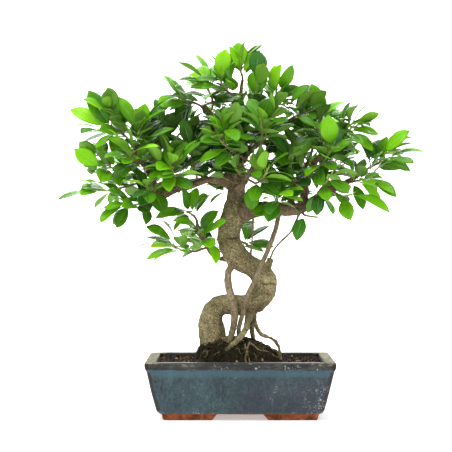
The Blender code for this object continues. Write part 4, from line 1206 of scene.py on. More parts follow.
@dataclass
class Shoot:
    """The leaves and the twig of one shoot, in the places that its frame node gives, and its side sprigs.

    Tries are the most places tried on a twig for each sprig that is wanted, and two thirds as many are tried
    on a branch. A bud is told by how far past the twig's end each of its sections lies and how thick it is.
    Spill is how far a sprig's leaf may reach past the shoot's box, sag how far its tip may hang below the
    sprig's foot, and freshness how much brighter than usual the shoot's leaves are.
    """

    node: str
    number: int
    templates: tuple[BladeTemplate, BladeTemplate]
    crown: tuple[Vector, Vector]
    room: Room
    wanted: int = 7
    freshness: float = 0.0
    tries: int = 12
    twig_sides: int = 8
    twig_inset: float = 0.0022
    bud: tuple[Range, ...] = ((0.002, 0.00085), (0.0045, 0.00065), (0.0065, 0.0003))
    stalk_sides: int = 5
    stalk_radius: float = 0.00058
    stalk_taper: tuple[float, ...] = (1.25, 1.05, 0.95, 0.9, 0.85, 0.6)
    sprig_radius: float = 0.00115
    sprig_thinning: float = 0.0005
    sprig_on_twig: Range = (0.008, 0.030)
    sprig_on_branch: Range = (0.016, 0.046)
    spill: float = 0.005
    sag: float = 0.008
    leaf_size: Range = (0.036, 0.055)
    leaf_spots: tuple[tuple[int, float, float], ...] = (
        (3, 1.0, 0.0), (4, -1.0, 0.3), (5, 0.3, 1.0), (5, 1.0, -0.4), (6, -0.8, -0.5), (6, 0.7, 0.4),
        (6, 0.0, 0.0))
    leaves: list[LeafPlace] = field(default_factory=list)
    rings: list[tuple[Vector, float]] = field(default_factory=list)
    sprigs: list[list[Vector]] = field(default_factory=list)
    limits: tuple[Vector, Vector] = (Vector(), Vector())

    def read(self) -> None:
        """Finds the leaves and the twig's sections among the corners of the node.

        A leaf is a tip with four neighbours well away from it, the four corners of its widest section, which
        grow from the four corners of a facet of the twig.
        """
        points, triangles = weld(self.node)
        spots = [Vector(point) for point in points]
        near: list[set[int]] = [set() for _ in spots]
        for a, b, c in triangles.tolist():
            near[a] |= {b, c}
            near[b] |= {a, c}
            near[c] |= {a, b}
        found = []
        taken: set[int] = set()
        for index, around in enumerate(near):
            if len(around) != 4 or min((spots[index] - spots[other]).length for other in around) < 0.005:
                continue
            first = set().union(*(near[other] for other in around)) - around - {index}
            foot = set().union(*(near[other] for other in first)) - first - around
            if len(first) == 4 and len(foot) == 4:
                found.append((index, sorted(first), sorted(foot)))
                taken |= {index} | around | first
        wood = [index for index in range(len(spots)) if index not in taken]
        self._read_twig(spots, near, wood, taken)
        self.leaves = [self._read_leaf(spots, *parts) for parts in found]

    def _read_twig(self, spots: list[Vector], near: list[set[int]], wood: list[int], taken: set[int]) -> None:
        """Walks the twig's sections from its tip, which is its thinnest, to its foot.

        Args:
            spots: the node's points.
            near: each point's neighbours.
            wood: the points of the twig.
            taken: the points of the leaves.
        """
        start: tuple[float, set[int]] = (1.0, set())
        for index in wood:
            others = sorted((spots[index] - spots[other]).length for other in wood if other != index)
            if others[2] < start[0]:
                mates = sorted(wood, key=lambda other: (spots[index] - spots[other]).length)[:4]
                start = (others[2], set(mates))
        ring = start[1]
        seen: set[int] = set()
        while ring:
            middle = sum((spots[other] for other in ring), Vector()) / len(ring)
            radius = sum((spots[other] - middle).length for other in ring) / len(ring)
            self.rings.append((middle, radius))
            seen |= ring
            ring = set().union(*(near[other] for other in ring)) - seen - taken
        self.rings.reverse()

    def _read_leaf(self, spots: list[Vector], index: int, first: list[int], foot: list[int]) -> LeafPlace:
        """Reads one leaf.

        Args:
            spots: the node's points.
            index: the leaf's tip.
            first: the corners of its widest section.
            foot: the corners of the facet that it grows from.

        Returns:
            The leaf's place.
        """
        pairs = [(a, b) for number, a in enumerate(first) for b in first[number + 1:]]
        a, b = max(pairs, key=lambda pair: (spots[pair[0]] - spots[pair[1]]).length)
        rest = [other for other in first if other not in (a, b)]
        middle = (spots[a] + spots[b]) / 2.0
        base = sum((spots[other] for other in foot), Vector()) / 4.0
        ahead = (spots[index] - base).normalized()
        upper = middle - (spots[rest[0]] + spots[rest[1]]) / 2.0
        upper = (upper - ahead * upper.dot(ahead)).normalized()
        nearest = min(range(len(self.rings)), key=lambda ring: (self.rings[ring][0] - base).length)
        ripe = nearest / max(len(self.rings) - 1, 1)
        return LeafPlace(base, spots[index], upper, (spots[a] - spots[b]).length / 0.92, ripe)

    def grow_on_twig(self, chance: random.Random) -> None:
        """Fills the shoot with short side sprigs of small leaves, wherever there is room for them.

        Args:
            chance: the source of their places.
        """
        low, high = box_of(self.node)
        margin = Vector((self.spill, self.spill, self.spill))
        self.limits = (low - margin, high + margin)
        for _ in range(self.wanted * self.tries):
            if len(self.sprigs) >= self.wanted:
                return
            index = chance.randrange(1, max(int(len(self.rings) * 0.85), 2))
            start = self.rings[index][0]
            after = self.rings[min(index + 1, len(self.rings) - 1)][0]
            ahead = (after - self.rings[index - 1][0]).normalized()
            side = ahead.orthogonal().normalized()
            angle = chance.uniform(0.0, TURN)
            side = side * math.cos(angle) + ahead.cross(side) * math.sin(angle)
            way = (ahead * chance.uniform(0.3, 0.8) + side + UP * 0.25).normalized()
            length = chance.uniform(*self.sprig_on_twig)
            self._grow_sprig(start, way, length, 0.25 * index / len(self.rings), chance)

    def grow_on_branch(self, wood: str, chance: random.Random) -> None:
        """Grows sprigs that rise out of a branch.

        Args:
            wood: the branch's node.
            chance: the source of their places.
        """
        points, triangles = weld(wood)
        facets = points[triangles]
        normals = np.cross(facets[:, 1] - facets[:, 0], facets[:, 2] - facets[:, 0])
        sums = np.cumsum(np.linalg.norm(normals, axis=1))
        self.limits = (Vector((self.crown[0].x, self.crown[0].y, float(points[:, 2].min()))), self.crown[1])
        for _ in range(self.wanted * self.tries * 2 // 3):
            if len(self.sprigs) >= self.wanted:
                return
            pick = min(int(np.searchsorted(sums, chance.random() * sums[-1])), len(sums) - 1)
            out = Vector(normals[pick]).normalized()
            start = Vector(facets[pick].mean(axis=0)) - out * 0.0012
            spin = Vector((chance.gauss(0.0, 0.4), chance.gauss(0.0, 0.4), chance.gauss(0.55, 0.3)))
            way = (out + spin).normalized()
            if way.z > 0.15:
                self._grow_sprig(start, way, chance.uniform(*self.sprig_on_branch), 0.35, chance)

    def _grow_sprig(self, start: Vector, way: Vector, length: float, ripe: float,
                    chance: random.Random) -> None:
        """Grows one sprig, if at least two of its leaves find room.

        Args:
            start: where it leaves the wood.
            way: the direction that it grows in.
            length: its length.
            ripe: how far along the shoot it is, from 0 to 1.
            chance: the source of its small differences.
        """
        path = [start + way * (length * step / 6.0) + UP * (0.16 * length * (step / 6.0) ** 2)
                for step in range(7)]
        across = way.cross(UP)
        across = across.normalized() if across.length > 0.1 else way.orthogonal().normalized()
        third = way.cross(across)
        grown = []
        for step, sideways, upways in self.leaf_spots:
            out = (way * chance.uniform(0.5, 1.0) + across * sideways + third * upways
                   + UP * chance.uniform(-0.45, 0.25)).normalized()
            size = chance.uniform(*self.leaf_size)
            up = Vector((chance.gauss(0.0, 0.35), chance.gauss(-0.15, 0.35), 1.0)) + way * 0.4
            up = (up - out * up.dot(out)).normalized()
            width = size * chance.uniform(0.42, 0.52)
            leaf = LeafPlace(path[step], path[step] + out * size, up, width, ripe, True)
            lowest, highest = self.limits
            inside = all(low <= place <= high for low, place, high in zip(lowest, leaf.tip, highest))
            if inside and leaf.tip.z > start.z - self.sag and self.room.take(leaf):
                grown.append((step, leaf))
        if len(grown) >= 2:
            self.leaves.extend(leaf for _, leaf in grown)
            self.sprigs.append(path[:max(step for step, _ in grown) + 1])

    def _age(self, leaf: LeafPlace, chance: random.Random) -> float:
        """How young and bright a leaf is: more so near the shoot's tip and at the crown's outside.

        Args:
            leaf: the leaf's place.
            chance: the source of its small differences.

        Returns:
            A number from 0, old and dark, to 1, young and bright.
        """
        away = leaf.tip - (self.crown[0] + self.crown[1]) / 2.0
        half = (self.crown[1] - self.crown[0]) / 2.0
        out = Vector((away.x / half.x, away.y / half.y, away.z / half.z)).length
        mood = 0.07 * math.sin(self.number * 2.4) + 0.52 * (out - 0.82) + self.freshness
        return limited(chance.gauss(0.33 + 0.22 * leaf.ripe ** 2 + mood, 0.17))

    def _twig(self) -> tuple[list[Vector], list[float]]:
        """Shapes the twig: set into its parent and ending in a bud.

        Returns:
            Its centre line, and its radius at each point of it.
        """
        centres = [middle for middle, _ in self.rings]
        radii = [radius for _, radius in self.rings]
        inward = (centres[0] - centres[1]).normalized()
        centres.insert(0, centres[0] + inward * self.twig_inset)
        radii.insert(0, radii[0] * 1.35)
        places = []
        widths = []
        for point, place in curve_through(centres, 3):
            low = min(int(place), len(radii) - 2)
            places.append(point)
            widths.append(max(radii[low] + (radii[low + 1] - radii[low]) * (place - low), 0.0007))
        ahead = (places[-1] - places[-2]).normalized()
        end = places[-1]
        for step, width in self.bud:
            places.append(end + ahead * step)
            widths.append(width)
        return places, widths

    def build(self, materials: list[Material]) -> Piece:
        """Builds the shoot's piece.

        Args:
            materials: the leaf's and the twig's.

        Returns:
            The piece.
        """
        chance = Seed.LEAVES.source(self.number)
        count = len(self.leaves)
        foliage = Foliage(2 * count + 2)
        for number, place in enumerate(self.leaves):
            leaf = Leaf.draw(place, chance)
            template = self.templates[place.small]
            age = self._age(place, chance)
            foliage.add_blade(leaf.blade(template), template, number, age)
            stalk = tube(leaf.stalk(), [self.stalk_radius * w for w in self.stalk_taper], self.stalk_sides)
            foliage.add_wood(stalk, self.stalk_sides, 2 * count, [0.45 + 0.5 * age] * len(stalk[0]))
        for path in self.sprigs:
            last = max(len(path) - 1, 1)
            radii = [self.sprig_radius - self.sprig_thinning * step / last for step in range(len(path))]
            twig = tube(path, radii, self.stalk_sides, True)
            ages = [0.15 + 0.35 * index / len(twig[0]) for index in range(len(twig[0]))]
            foliage.add_wood(twig, self.stalk_sides, 2 * count, ages)
        if self.rings:
            places, radii = self._twig()
            twig = tube(places, radii, self.twig_sides, True)
            last = len(places) - 1
            ages = [min(index // self.twig_sides, last) / last for index in range(len(twig[0]))]
            foliage.add_wood(twig, self.twig_sides, 2 * count + 1, ages)
        return foliage.finish(self.node + "_leaves", materials, self.node if self.rings else None)


class Bark(Enum):
    """The barks of the plant."""

    TRUNK = BarkFinish("trunk_bark", (0.170, 0.137, 0.064), (0.038, 0.028, 0.014), (0.400, 0.338, 0.180),
                       0.0040, algae=0.30, lit_pale_top=0.6, dark_above=0.24)
    BRANCH = BarkFinish("branch_bark", (0.142, 0.096, 0.056), (0.040, 0.025, 0.014), (0.300, 0.225, 0.130),
                        0.0032)
    AERIAL_ROOT = BarkFinish("root_bark", (0.190, 0.148, 0.086), (0.075, 0.052, 0.028), (0.330, 0.270, 0.165),
                             0.0030, streak=4.0)
    SURFACE_ROOT = BarkFinish("surface_root_bark", (0.230, 0.165, 0.095), (0.080, 0.052, 0.030),
                              (0.400, 0.300, 0.180), 0.0030)


@dataclass(frozen=True)
class Scar:
    """A ring crack round the trunk: its place as shares of the trunk's box, its slope and its size."""

    share: tuple[float, float]
    slope: float
    reach: float
    depth: float = 0.0011
    width: float = 0.0011
    waver: float = 0.0012

    def at(self, spot: Vector, low: Vector, high: Vector) -> float:
        """How deep a place lies in the crack.

        Args:
            spot: the place.
            low: the lowest corner of the trunk's box.
            high: its highest corner.

        Returns:
            A number from 0, outside, to 1, at its bottom.
        """
        x = spot.x - (low.x + (high.x - low.x) * self.share[0])
        z = spot.z - (low.z + (high.z - low.z) * self.share[1])
        if abs(x) > self.reach:
            return 0.0
        height = z - self.slope * x - self.waver * math.sin(x * 260.0)
        return math.exp(-(height / self.width) ** 2) * (1.0 - (abs(x) / self.reach) ** 3)


@dataclass
class Wood:
    """A piece of wood, shaped from its frame node: rounded, lumpy, and swollen where it leaves its parent.

    Lump, grain and collar are how far its large lumps, its fine grain and its swollen foot stand out.
    """

    node: str
    slot: Slot
    voxel: float
    lump: float
    grain: float
    parents: tuple[str, ...] = ()
    collar: float = 0.0011
    collar_reach: float = 0.007
    scars: tuple[Scar, ...] = ()
    smoothing: int = 6
    lump_sizes: Range = (0.013, 0.0052)
    grain_size: float = 0.0024

    def build(self, bark: Material) -> Piece:
        """Builds the piece.

        Args:
            bark: its material.

        Returns:
            The piece.
        """
        points, normals, faces = remesh(self.node, self.voxel, self.smoothing)
        trees = [surface(parent) for parent in self.parents]
        low, high = box_of(self.node)
        cracks = np.zeros(len(points))
        for index, (point, normal) in enumerate(zip(points, normals)):
            spot = Vector(point)
            move = self.lump * noise.noise(spot * (1.0 / self.lump_sizes[0]))
            move += self.lump * 0.55 * noise.noise(spot * (1.0 / self.lump_sizes[1]))
            move += self.grain * noise.noise(spot * (1.0 / self.grain_size))
            for tree in trees:
                found = tree.find_nearest(spot, self.collar_reach)
                if found[0] is not None:
                    move += self.collar * (1.0 - found[3] / self.collar_reach) ** 2
            for scar in self.scars:
                depth = scar.at(spot, low, high)
                move -= depth * scar.depth
                cracks[index] = max(cracks[index], depth)
            points[index] = spot + Vector(normal) * move
        piece = add_piece(self.node + "_bark", points, faces, [bark], self.node)
        carry(piece.data, "crack", cracks)
        return piece


@dataclass
class Tree:
    """The tree: trunk, branches, aerial roots and shoots."""

    trunk_voxel: float = 0.00115
    branch_voxel: float = 0.00085
    root_voxel: float = 0.0007
    sprigs: int = 7
    low_sprigs: int = 3
    low_freshness: float = 0.16
    main_branches: tuple[str, ...] = ("branch_left", "branch_right")
    scars: tuple[Scar, ...] = (Scar((0.445, 0.474), -0.06, 0.017), Scar((0.841, 0.322), -0.12, 0.014),
                               Scar((0.817, 0.290), -0.75, 0.006))

    def build(self) -> list[Piece]:
        """Builds every piece of the tree."""
        return self._build_wood() + self._build_shoots()

    @staticmethod
    def _named(*starts: str) -> list[str]:
        """The frame nodes whose names start in one of some ways, in order."""
        return [name for name in sorted(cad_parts) if name.startswith(starts)]

    def _build_wood(self) -> list[Piece]:
        """Builds the trunk, the branches and the aerial roots.

        Returns:
            Their pieces.
        """
        trunk = Wood("trunk", Slot.TRUNK, self.trunk_voxel, 0.0011, 0.00028, scars=self.scars)
        pieces = [trunk.build(Bark.TRUNK.value.make())]
        bark = Bark.BRANCH.value.make()
        for node in self._named("branch_"):
            main = node in self.main_branches
            parents = ("trunk",) if main else ("trunk", *self.main_branches)
            collar, reach = (0.0075, 0.030) if main else (0.0030, 0.013)
            branch = Wood(node, Slot.BRANCH, self.branch_voxel, 0.0016, 0.00040, parents, collar, reach)
            pieces.append(branch.build(bark))
        bark = Bark.AERIAL_ROOT.value.make()
        for node in self._named("aerial_root_"):
            root = Wood(node, Slot.ROOT, self.root_voxel, 0.00035, 0.00012, ("trunk", "branch_right"), 0.0007)
            pieces.append(root.build(bark))
        return pieces

    def _build_shoots(self) -> list[Piece]:
        """Builds the shoots, and the sprigs on the branches between them.

        Returns:
            Their pieces.
        """
        materials = [LeafFinish().make(), TwigFinish().make()]
        templates = (BladeTemplate(), BladeTemplate(8, (-1.0, -0.55, -0.08, 0.0, 0.08, 0.55, 1.0)))
        nodes = self._named("shoot_")
        boxes = [box_of(name) for name in nodes]
        crown = (Vector([min(low[axis] for low, _ in boxes) for axis in range(3)]),
                 Vector([max(high[axis] for _, high in boxes) for axis in range(3)]))
        room = Room([surface(name) for name in self._named("shoot_", "branch_", "trunk")])
        shoots = [Shoot(node, number, templates, crown, room,
                        self.low_sprigs if "low" in node else self.sprigs,
                        self.low_freshness if node.startswith("shoot_low") else 0.0)
                  for number, node in enumerate(nodes)]
        for shoot in shoots:
            shoot.read()
        for number, name in enumerate(self._named("branch_")):
            sprigs = Shoot(name + "_sprigs", 60 + number, templates, crown, room, self.sprigs)
            sprigs.grow_on_branch(name, Seed.BRANCH_SPRIGS.source(number))
            if sprigs.sprigs:
                shoots.append(sprigs)
        pieces = []
        for shoot in shoots:
            if shoot.rings:
                shoot.grow_on_twig(Seed.TWIG_SPRIGS.source(shoot.number))
            pieces.append(shoot.build(materials))
        log.info("%d leaves in all", sum(len(shoot.leaves) for shoot in shoots))
        return pieces


@dataclass
class Pot:
    """The glazed pot and the two nets in it."""

    voxel: float = 0.0017
    unevenness: float = 0.00030
    level_feet: float = 0.004

    def build(self) -> list[Piece]:
        """Builds the pot, a little uneven above its feet, and dresses its nets.

        Returns:
            The pot and the nets.
        """
        points, normals, faces = remesh("pot", self.voxel, 3)
        low, high = box_of("pot")
        for index, (point, normal) in enumerate(zip(points, normals)):
            spot = Vector(point)
            if spot.z > low.z + self.level_feet:
                points[index] = spot + Vector(normal) * (self.unevenness * noise.noise(spot * 38.0))
        finish = PotFinish(high.x, high.y, high.z, self._feet(points))
        pieces = [add_piece("pot_glazed", points, faces, [finish.make()], "pot")]
        net = NetFinish().make()
        for node in ("drain_net_left", "drain_net_right"):
            pieces.append(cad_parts[node])
            pieces[-1].data.materials.clear()
            pieces[-1].data.materials.append(net)
        return pieces

    @staticmethod
    def _feet(points: np.ndarray) -> float:
        """Finds the height at which the wall starts above the feet.

        Args:
            points: the pot's points.

        Returns:
            The lowest place near the pot's ends, where no foot reaches.
        """
        away = np.abs(points[:, 0])
        return float(points[away > away.max() * 0.84, 2].min())


@dataclass
class Soil:
    """The potting mix: its bed, the loose crumbs on it, and the moss and fine roots on its mound.

    Each thin root on the moss has the way that it starts in and its radius. Dark_from and fibres_from are
    shares of the soil's height, from which the crumbs are dark and the root hairs lie.
    """

    voxel: float = 0.0022
    grains: int = 2600
    fibres: int = 1000
    moss_step: float = 0.0013
    moss_depth: float = 0.056
    mound_height: float = 0.034
    above: float = 0.02
    roots: tuple[Range, ...] = (
        (3.35, 0.0029), (3.75, 0.0020), (4.7, 0.0014), (5.7, 0.0018), (2.7, 0.0014), (0.5, 0.0013),
        (4.2, 0.0016))
    root_start: Range = (0.012, -0.016)
    root_step: float = 0.0042
    root_steps: int = 14
    fibre_steps: int = 6
    fibre_spread: Range = (0.034, 0.026)
    dark_from: float = 0.78
    fibres_from: float = 0.66

    def __post_init__(self) -> None:
        """Reads the soil's and the trunk's boxes."""
        self.low, self.high = box_of("soil")
        trunk_low, trunk_high = box_of("trunk")
        self.middle = (trunk_low.x + trunk_high.x) / 2.0
        self.moss_reach = (trunk_high.x - trunk_low.x) * 0.555

    def build(self) -> list[Piece]:
        """Builds the five pieces.

        Returns:
            The bed, the grains, the moss, the fibres and the thin roots.
        """
        points, normals, faces = remesh("soil", self.voxel, 2)
        for index, (point, normal) in enumerate(zip(points, normals)):
            if normal[2] > 0.3:
                spot = Vector(point)
                lift = 0.0016 * noise.noise(spot * 160.0) + 0.0010 * noise.noise(spot * 330.0)
                points[index] = spot + UP * lift
        piece = add_piece("soil_bed", points, faces, [SoilFinish().make()], "soil")
        bed = BVHTree.FromPolygons(points.tolist(), faces)
        grains = self._scatter_grains(bed)
        moss, mound = self._grow_moss(bed)
        return [piece, grains, moss, self._lay_fibres(mound), self._lay_roots(mound)]

    def _land(self, ground: BVHTree, x: float, y: float) -> tuple[Vector | None, Vector | None]:
        """Finds where something that falls lands.

        Args:
            ground: the surface that it falls on.
            x: its place along the pot.
            y: its place across the pot.

        Returns:
            The place on the surface and the way that the surface faces there, or nothing twice.
        """
        start = Vector((x, y, self.high.z + self.above))
        place, normal, _, _ = ground.ray_cast(start, Vector((0.0, 0.0, -1.0)))
        return place, normal

    def _height(self, share: float) -> float:
        """A height in the soil's box, as a share of its own height."""
        return self.low.z + (self.high.z - self.low.z) * share

    def _moss_at(self, x: float, y: float, level: float) -> float:
        """The height of the moss: steep on the left, longer on the right, and lower towards the front.

        Args:
            x: the place along the pot.
            y: the place across the pot.
            level: the height of the bed there.

        Returns:
            The height, just under the bed where the moss ends.
        """
        spot = Vector((x, y, 0.0))
        aside = (x - self.middle) / self.moss_reach
        wider = 1.0 + 0.75 * limited(-aside) * (y < 0.0)
        radius = math.hypot(aside, y / (self.moss_depth * wider)) / (1.0 + 0.16 * noise.noise(spot * 60.0))
        fall = (1.0 - 0.45 * limited(aside) ** 1.5) * (1.0 - 0.30 * limited(-y / self.moss_depth))
        swell = max(1.0 - radius ** (4.2 if x < self.middle else 2.8), 0.0) * fall
        rough = 0.0030 * noise.noise(spot * 120.0) + 0.0022 * noise.noise(spot * 270.0)
        rough += 0.0014 * noise.noise(spot * 520.0)
        top = max(level + 0.0012, self.high.z - self.mound_height + self.mound_height * swell) + rough
        return level - 0.002 + (top - level + 0.002) * limited((1.0 - radius) * 6.0)

    def _grow_moss(self, bed: BVHTree) -> tuple[Piece, BVHTree]:
        """Packs moss and fine roots round the foot of the trunk.

        Args:
            bed: the bed's surface.

        Returns:
            The piece, and its upper surface.
        """
        front = self.low.y + 0.004
        columns = int(2.0 * self.moss_reach / self.moss_step) + 1
        rows = int((self.high.y - self.low.y - 0.008) / self.moss_step) + 1
        points: list[Vector] = []
        under: list[Vector] = []
        for row in range(rows):
            for column in range(columns):
                x = self.middle - self.moss_reach + column * self.moss_step
                y = front + row * self.moss_step
                place, _ = self._land(bed, x, y)
                level = place.z if place is not None else self.low.z
                points.append(Vector((x, y, self._moss_at(x, y, level))))
                under.append(Vector((x, y, level - 0.004)))
        count = len(points)
        starts = [row * columns + column for row in range(rows - 1) for column in range(columns - 1)]
        upper = [[a, a + 1, a + 1 + columns, a + columns] for a in starts]
        lower = [[count + index for index in reversed(face)] for face in upper]
        rim = [column for column in range(columns)]
        rim += [row * columns + columns - 1 for row in range(1, rows)]
        rim += [(rows - 1) * columns + column for column in range(columns - 2, -1, -1)]
        rim += [row * columns for row in range(rows - 2, 0, -1)]
        sides = [[a, count + a, count + b, b] for a, b in zip(rim, rim[1:] + rim[:1])]
        moss = MossFinish().make()
        piece = add_piece("mound_moss", points + under, upper + lower + sides, [moss])
        return piece, BVHTree.FromPolygons(points, upper)

    def _lay_roots(self, mound: BVHTree) -> Piece:
        """Lays thin tan roots that run out over the moss from the foot of the trunk.

        Args:
            mound: the surface of the moss.

        Returns:
            The piece.
        """
        chance = Seed.SURFACE_ROOTS.source()
        batch = Batch()
        for heading, thick in self.roots:
            x = self.root_start[0] + chance.uniform(-0.008, 0.008)
            y = self.root_start[1] + chance.uniform(-0.006, 0.006)
            places = []
            for step in range(self.root_steps):
                heading += chance.uniform(-0.42, 0.42)
                x += math.cos(heading) * self.root_step
                y += math.sin(heading) * self.root_step
                place, _ = self._land(mound, x, y)
                if place is None:
                    break
                rise = thick * (0.9 - 1.6 * (step / (self.root_steps - 1.0)) ** 3)
                places.append(place + UP * rise)
            curve = [place for place, _ in curve_through(places, 3)]
            for _ in range(2):
                inner = [(a + b * 2.0 + c) / 4.0 for a, b, c in zip(curve, curve[1:], curve[2:])]
                curve = [curve[0], *inner, curve[-1]]
            batch.add(*tube(curve, [thick * (1.0 - 0.6 * i / len(curve)) for i in range(len(curve))], 8))
        bark = Bark.SURFACE_ROOT.value.make()
        return add_piece("surface_roots", batch.points, batch.faces, [bark])

    def _scatter_grains(self, bed: BVHTree) -> Piece:
        """Scatters crumbs over the bed; those high on the mound are dark.

        Args:
            bed: the bed's surface.

        Returns:
            The piece.
        """
        chance = Seed.GRAINS.source()
        batch = Batch()
        ball, faces = self._round_grain()
        laid = 0
        while laid < self.grains:
            x = chance.uniform(self.low.x + 0.003, self.high.x - 0.003)
            y = chance.uniform(self.low.y + 0.003, self.high.y - 0.003)
            place, normal = self._land(bed, x, y)
            if place is None or normal.z < 0.35:
                continue
            size = 0.0007 + 0.0016 * chance.random() ** 2.6 + 0.0022 * (chance.random() > 0.99)
            low = place.z < self._height(self.dark_from)
            shade = chance.random() ** 1.5 if low else chance.random() * 0.45
            stretch = Vector([chance.uniform(0.75, 1.3) for _ in range(3)])
            seed = Vector([chance.uniform(0.0, 50.0) for _ in range(3)])
            bumps = [1.0 + 0.35 * noise.noise(corner * 1.7 + seed) for corner in ball]
            middle = place + UP * (size * 0.35)
            grain = [middle + corner * stretch * (size * bump) for corner, bump in zip(ball, bumps)]
            batch.add(grain, faces, shade)
            laid += 1
        finish = GrainFinish().make()
        piece = add_piece("soil_grains", batch.points, batch.faces, [finish], smooth=False)
        carry(piece.data, "shade", batch.shades)
        return piece

    @staticmethod
    def _round_grain() -> Skin:
        """Shapes a small round grain: a top point and three rings of six, before it is made uneven.

        Returns:
            Its points and faces.
        """
        points = [UP.copy()]
        faces: Faces = []
        levels = (0.55, -0.15, -0.75)
        sides = 6
        for level, height in enumerate(levels):
            radius = math.sqrt(1.0 - height * height)
            for step in range(sides):
                angle = TURN * (step + 0.5 * level) / sides
                points.append(Vector((radius * math.cos(angle), radius * math.sin(angle), height)))
        for step in range(sides):
            after = (step + 1) % sides
            faces.append([0, 1 + step, 1 + after])
            for low in range(1, 1 + (len(levels) - 1) * sides, sides):
                faces.append([low + after, low + step, low + sides + step])
                faces.append([low + after, low + sides + step, low + sides + after])
        last = 1 + (len(levels) - 1) * sides
        faces.append([last + step for step in reversed(range(sides))])
        return points, faces

    def _lay_fibres(self, mound: BVHTree) -> Piece:
        """Lays root hairs and moss over the mound.

        Args:
            mound: the surface of the moss.

        Returns:
            The piece.
        """
        chance = Seed.FIBRES.source()
        batch = Batch()
        laid = 0
        tries = 0
        while laid < self.fibres and tries < self.fibres * 40:
            tries += 1
            x = chance.gauss(0.0, self.fibre_spread[0])
            y = chance.gauss(-0.010, self.fibre_spread[1])
            heading = chance.uniform(0.0, TURN)
            length = chance.uniform(0.005, 0.018)
            curl = chance.uniform(-110.0, 110.0)
            places = []
            stride = length / (self.fibre_steps - 1.0)
            for step in range(self.fibre_steps):
                x += math.cos(heading) * stride
                y += math.sin(heading) * stride
                heading += curl * stride
                place, normal = self._land(mound, x, y)
                if place is None or place.z < self._height(self.fibres_from):
                    break
                arch = math.sin(math.pi * step / (self.fibre_steps - 1.0))
                rise = 0.0003 + 0.0030 * arch * chance.uniform(0.2, 1.0)
                places.append(place + normal * rise)
            if len(places) < self.fibre_steps:
                continue
            laid += 1
            radius = chance.uniform(0.00022, 0.00058)
            fibre = tube(places, [radius * w for w in (0.9, 1.0, 1.0, 0.9, 0.75, 0.4)], 4)
            batch.add(*fibre, chance.random() ** 1.8)
        piece = add_piece("mound_fibres", batch.points, batch.faces, [FibreFinish().make()])
        carry(piece.data, "shade", batch.shades)
        return piece


@dataclass(frozen=True)
class Lamp:
    """A square soft light; its place and what it faces are measured from the middle of the pot."""

    name: str
    place: Triple
    target: Triple
    size: float
    power: float

    def hang(self, centre: Vector) -> None:
        """Hangs the light.

        Args:
            centre: the middle of the pot.
        """
        light = bpy.data.lights.new(self.name, "AREA")
        light.shape = "SQUARE"
        light.size = self.size
        light.energy = self.power
        lamp = bpy.data.objects.new(self.name, light)
        bpy.context.scene.collection.objects.link(lamp)
        lamp.location = centre + Vector(self.place)
        lamp.rotation_euler = (Vector(self.target) - Vector(self.place)).to_track_quat("-Z", "Y").to_euler()


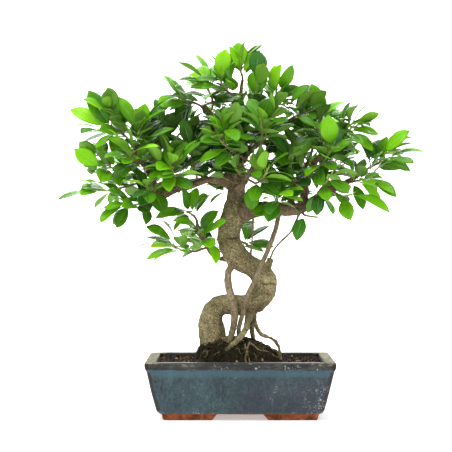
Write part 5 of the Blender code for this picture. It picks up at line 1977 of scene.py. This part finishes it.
@dataclass(frozen=True)
class Studio:
    """The pale table, the soft light and the camera."""

    distance: float = 2.4
    height: float = 0.288
    aside: float = -0.021
    lens: float = 126.3
    sensor: float = 36.0
    down: float = 2.0 / 452.0
    half_width: float = 8.0
    table: tuple[Range, ...] = ((-6.0, 0.0), (3.0, 0.0), (4.5, 0.15), (5.5, 0.7), (6.0, 1.8), (6.0, 6.0))
    lamps: tuple[Lamp, ...] = (
        Lamp("key", (-0.9, -1.3, 2.0), (0.0, 0.0, 0.25), 1.1, 34.0),
        Lamp("fill", (1.7, -1.4, 1.0), (0.0, 0.0, 0.2), 1.2, 9.0),
        Lamp("top", (0.1, 0.4, 2.2), (0.0, 0.0, 0.3), 1.6, 33.0),
        Lamp("backdrop", (0.0, 3.4, 3.4), (0.0, 5.0, 0.6), 3.0, 260.0))
    sky: Stops = ((0.22, (1.0, 1.0, 1.0)), (0.45, (0.36, 0.36, 0.36)))

    def build(self) -> None:
        """Builds the table, the lights and the camera, placed by the pot."""
        low, high = box_of("pot")
        centre = (low + high) / 2.0
        self._lay_table(low.z)
        for lamp in self.lamps:
            lamp.hang(centre)
        self._light_sky()
        self._set_camera(centre.x + self.aside, low.z + self.height)

    def _set_camera(self, x: float, z: float) -> None:
        """Sets the camera level in front of the plant.

        Args:
            x: its place along the pot.
            z: its height.
        """
        lens = bpy.data.cameras.new("camera")
        lens.sensor_width = self.sensor
        lens.lens = self.lens
        lens.shift_y = -self.down
        camera = bpy.data.objects.new("camera", lens)
        camera.location = (x, -self.distance, z)
        camera.rotation_euler = (math.pi / 2.0, 0.0, 0.0)
        bpy.context.scene.collection.objects.link(camera)
        bpy.context.scene.camera = camera
        bpy.context.scene.view_settings.view_transform = "Standard"

    def _light_sky(self) -> None:
        """Fills the studio with even light: white low down all round, dimmer overhead."""
        world = bpy.data.worlds.new("studio")
        bpy.context.scene.world = world
        world.use_nodes = True
        tree = world.node_tree
        place = tree.nodes.new("ShaderNodeTexCoord")
        parts = tree.nodes.new("ShaderNodeSeparateXYZ")
        ramp = tree.nodes.new("ShaderNodeValToRGB")
        for element, (position, colour) in zip(ramp.color_ramp.elements, self.sky):
            element.position = position
            element.color = (*colour, 1.0)
        tree.links.new(place.outputs["Generated"], parts.inputs[0])
        tree.links.new(parts.outputs["Z"], ramp.inputs[0])
        tree.links.new(ramp.outputs[0], tree.nodes["Background"].inputs["Color"])

    def _lay_table(self, level: float) -> None:
        """Lays a wide pale table top that runs up into a backdrop behind the plant.

        Args:
            level: the height of the table.
        """
        mesh = bpy.data.meshes.new("table")
        points = [(x, y, level + z) for y, z in self.table for x in (-self.half_width, self.half_width)]
        faces = [(2 * row, 2 * row + 1, 2 * row + 3, 2 * row + 2) for row in range(len(self.table) - 1)]
        mesh.from_pydata(points, [], faces)
        mesh.materials.append(TableFinish().make())
        mesh.polygons.foreach_set("use_smooth", [True] * len(faces))
        table = bpy.data.objects.new("table", mesh)
        bpy.context.scene.collection.objects.link(table)


def corners(bounds: tuple[Vector, Vector]) -> list[list[float]]:
    """A box's two corners as plain lists."""
    return [[float(number) for number in corner] for corner in bounds]


def main() -> None:
    """Builds the pot, the soil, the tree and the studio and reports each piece."""
    logging.basicConfig(level=logging.INFO, format="%(message)s")
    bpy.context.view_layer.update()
    for part in (Pot(), Soil(), Tree()):
        for piece in part.build():
            log.info("%s: %d faces", piece.name, len(piece.data.polygons))
    Studio().build()
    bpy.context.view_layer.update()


if __name__ == "__main__":
    main()
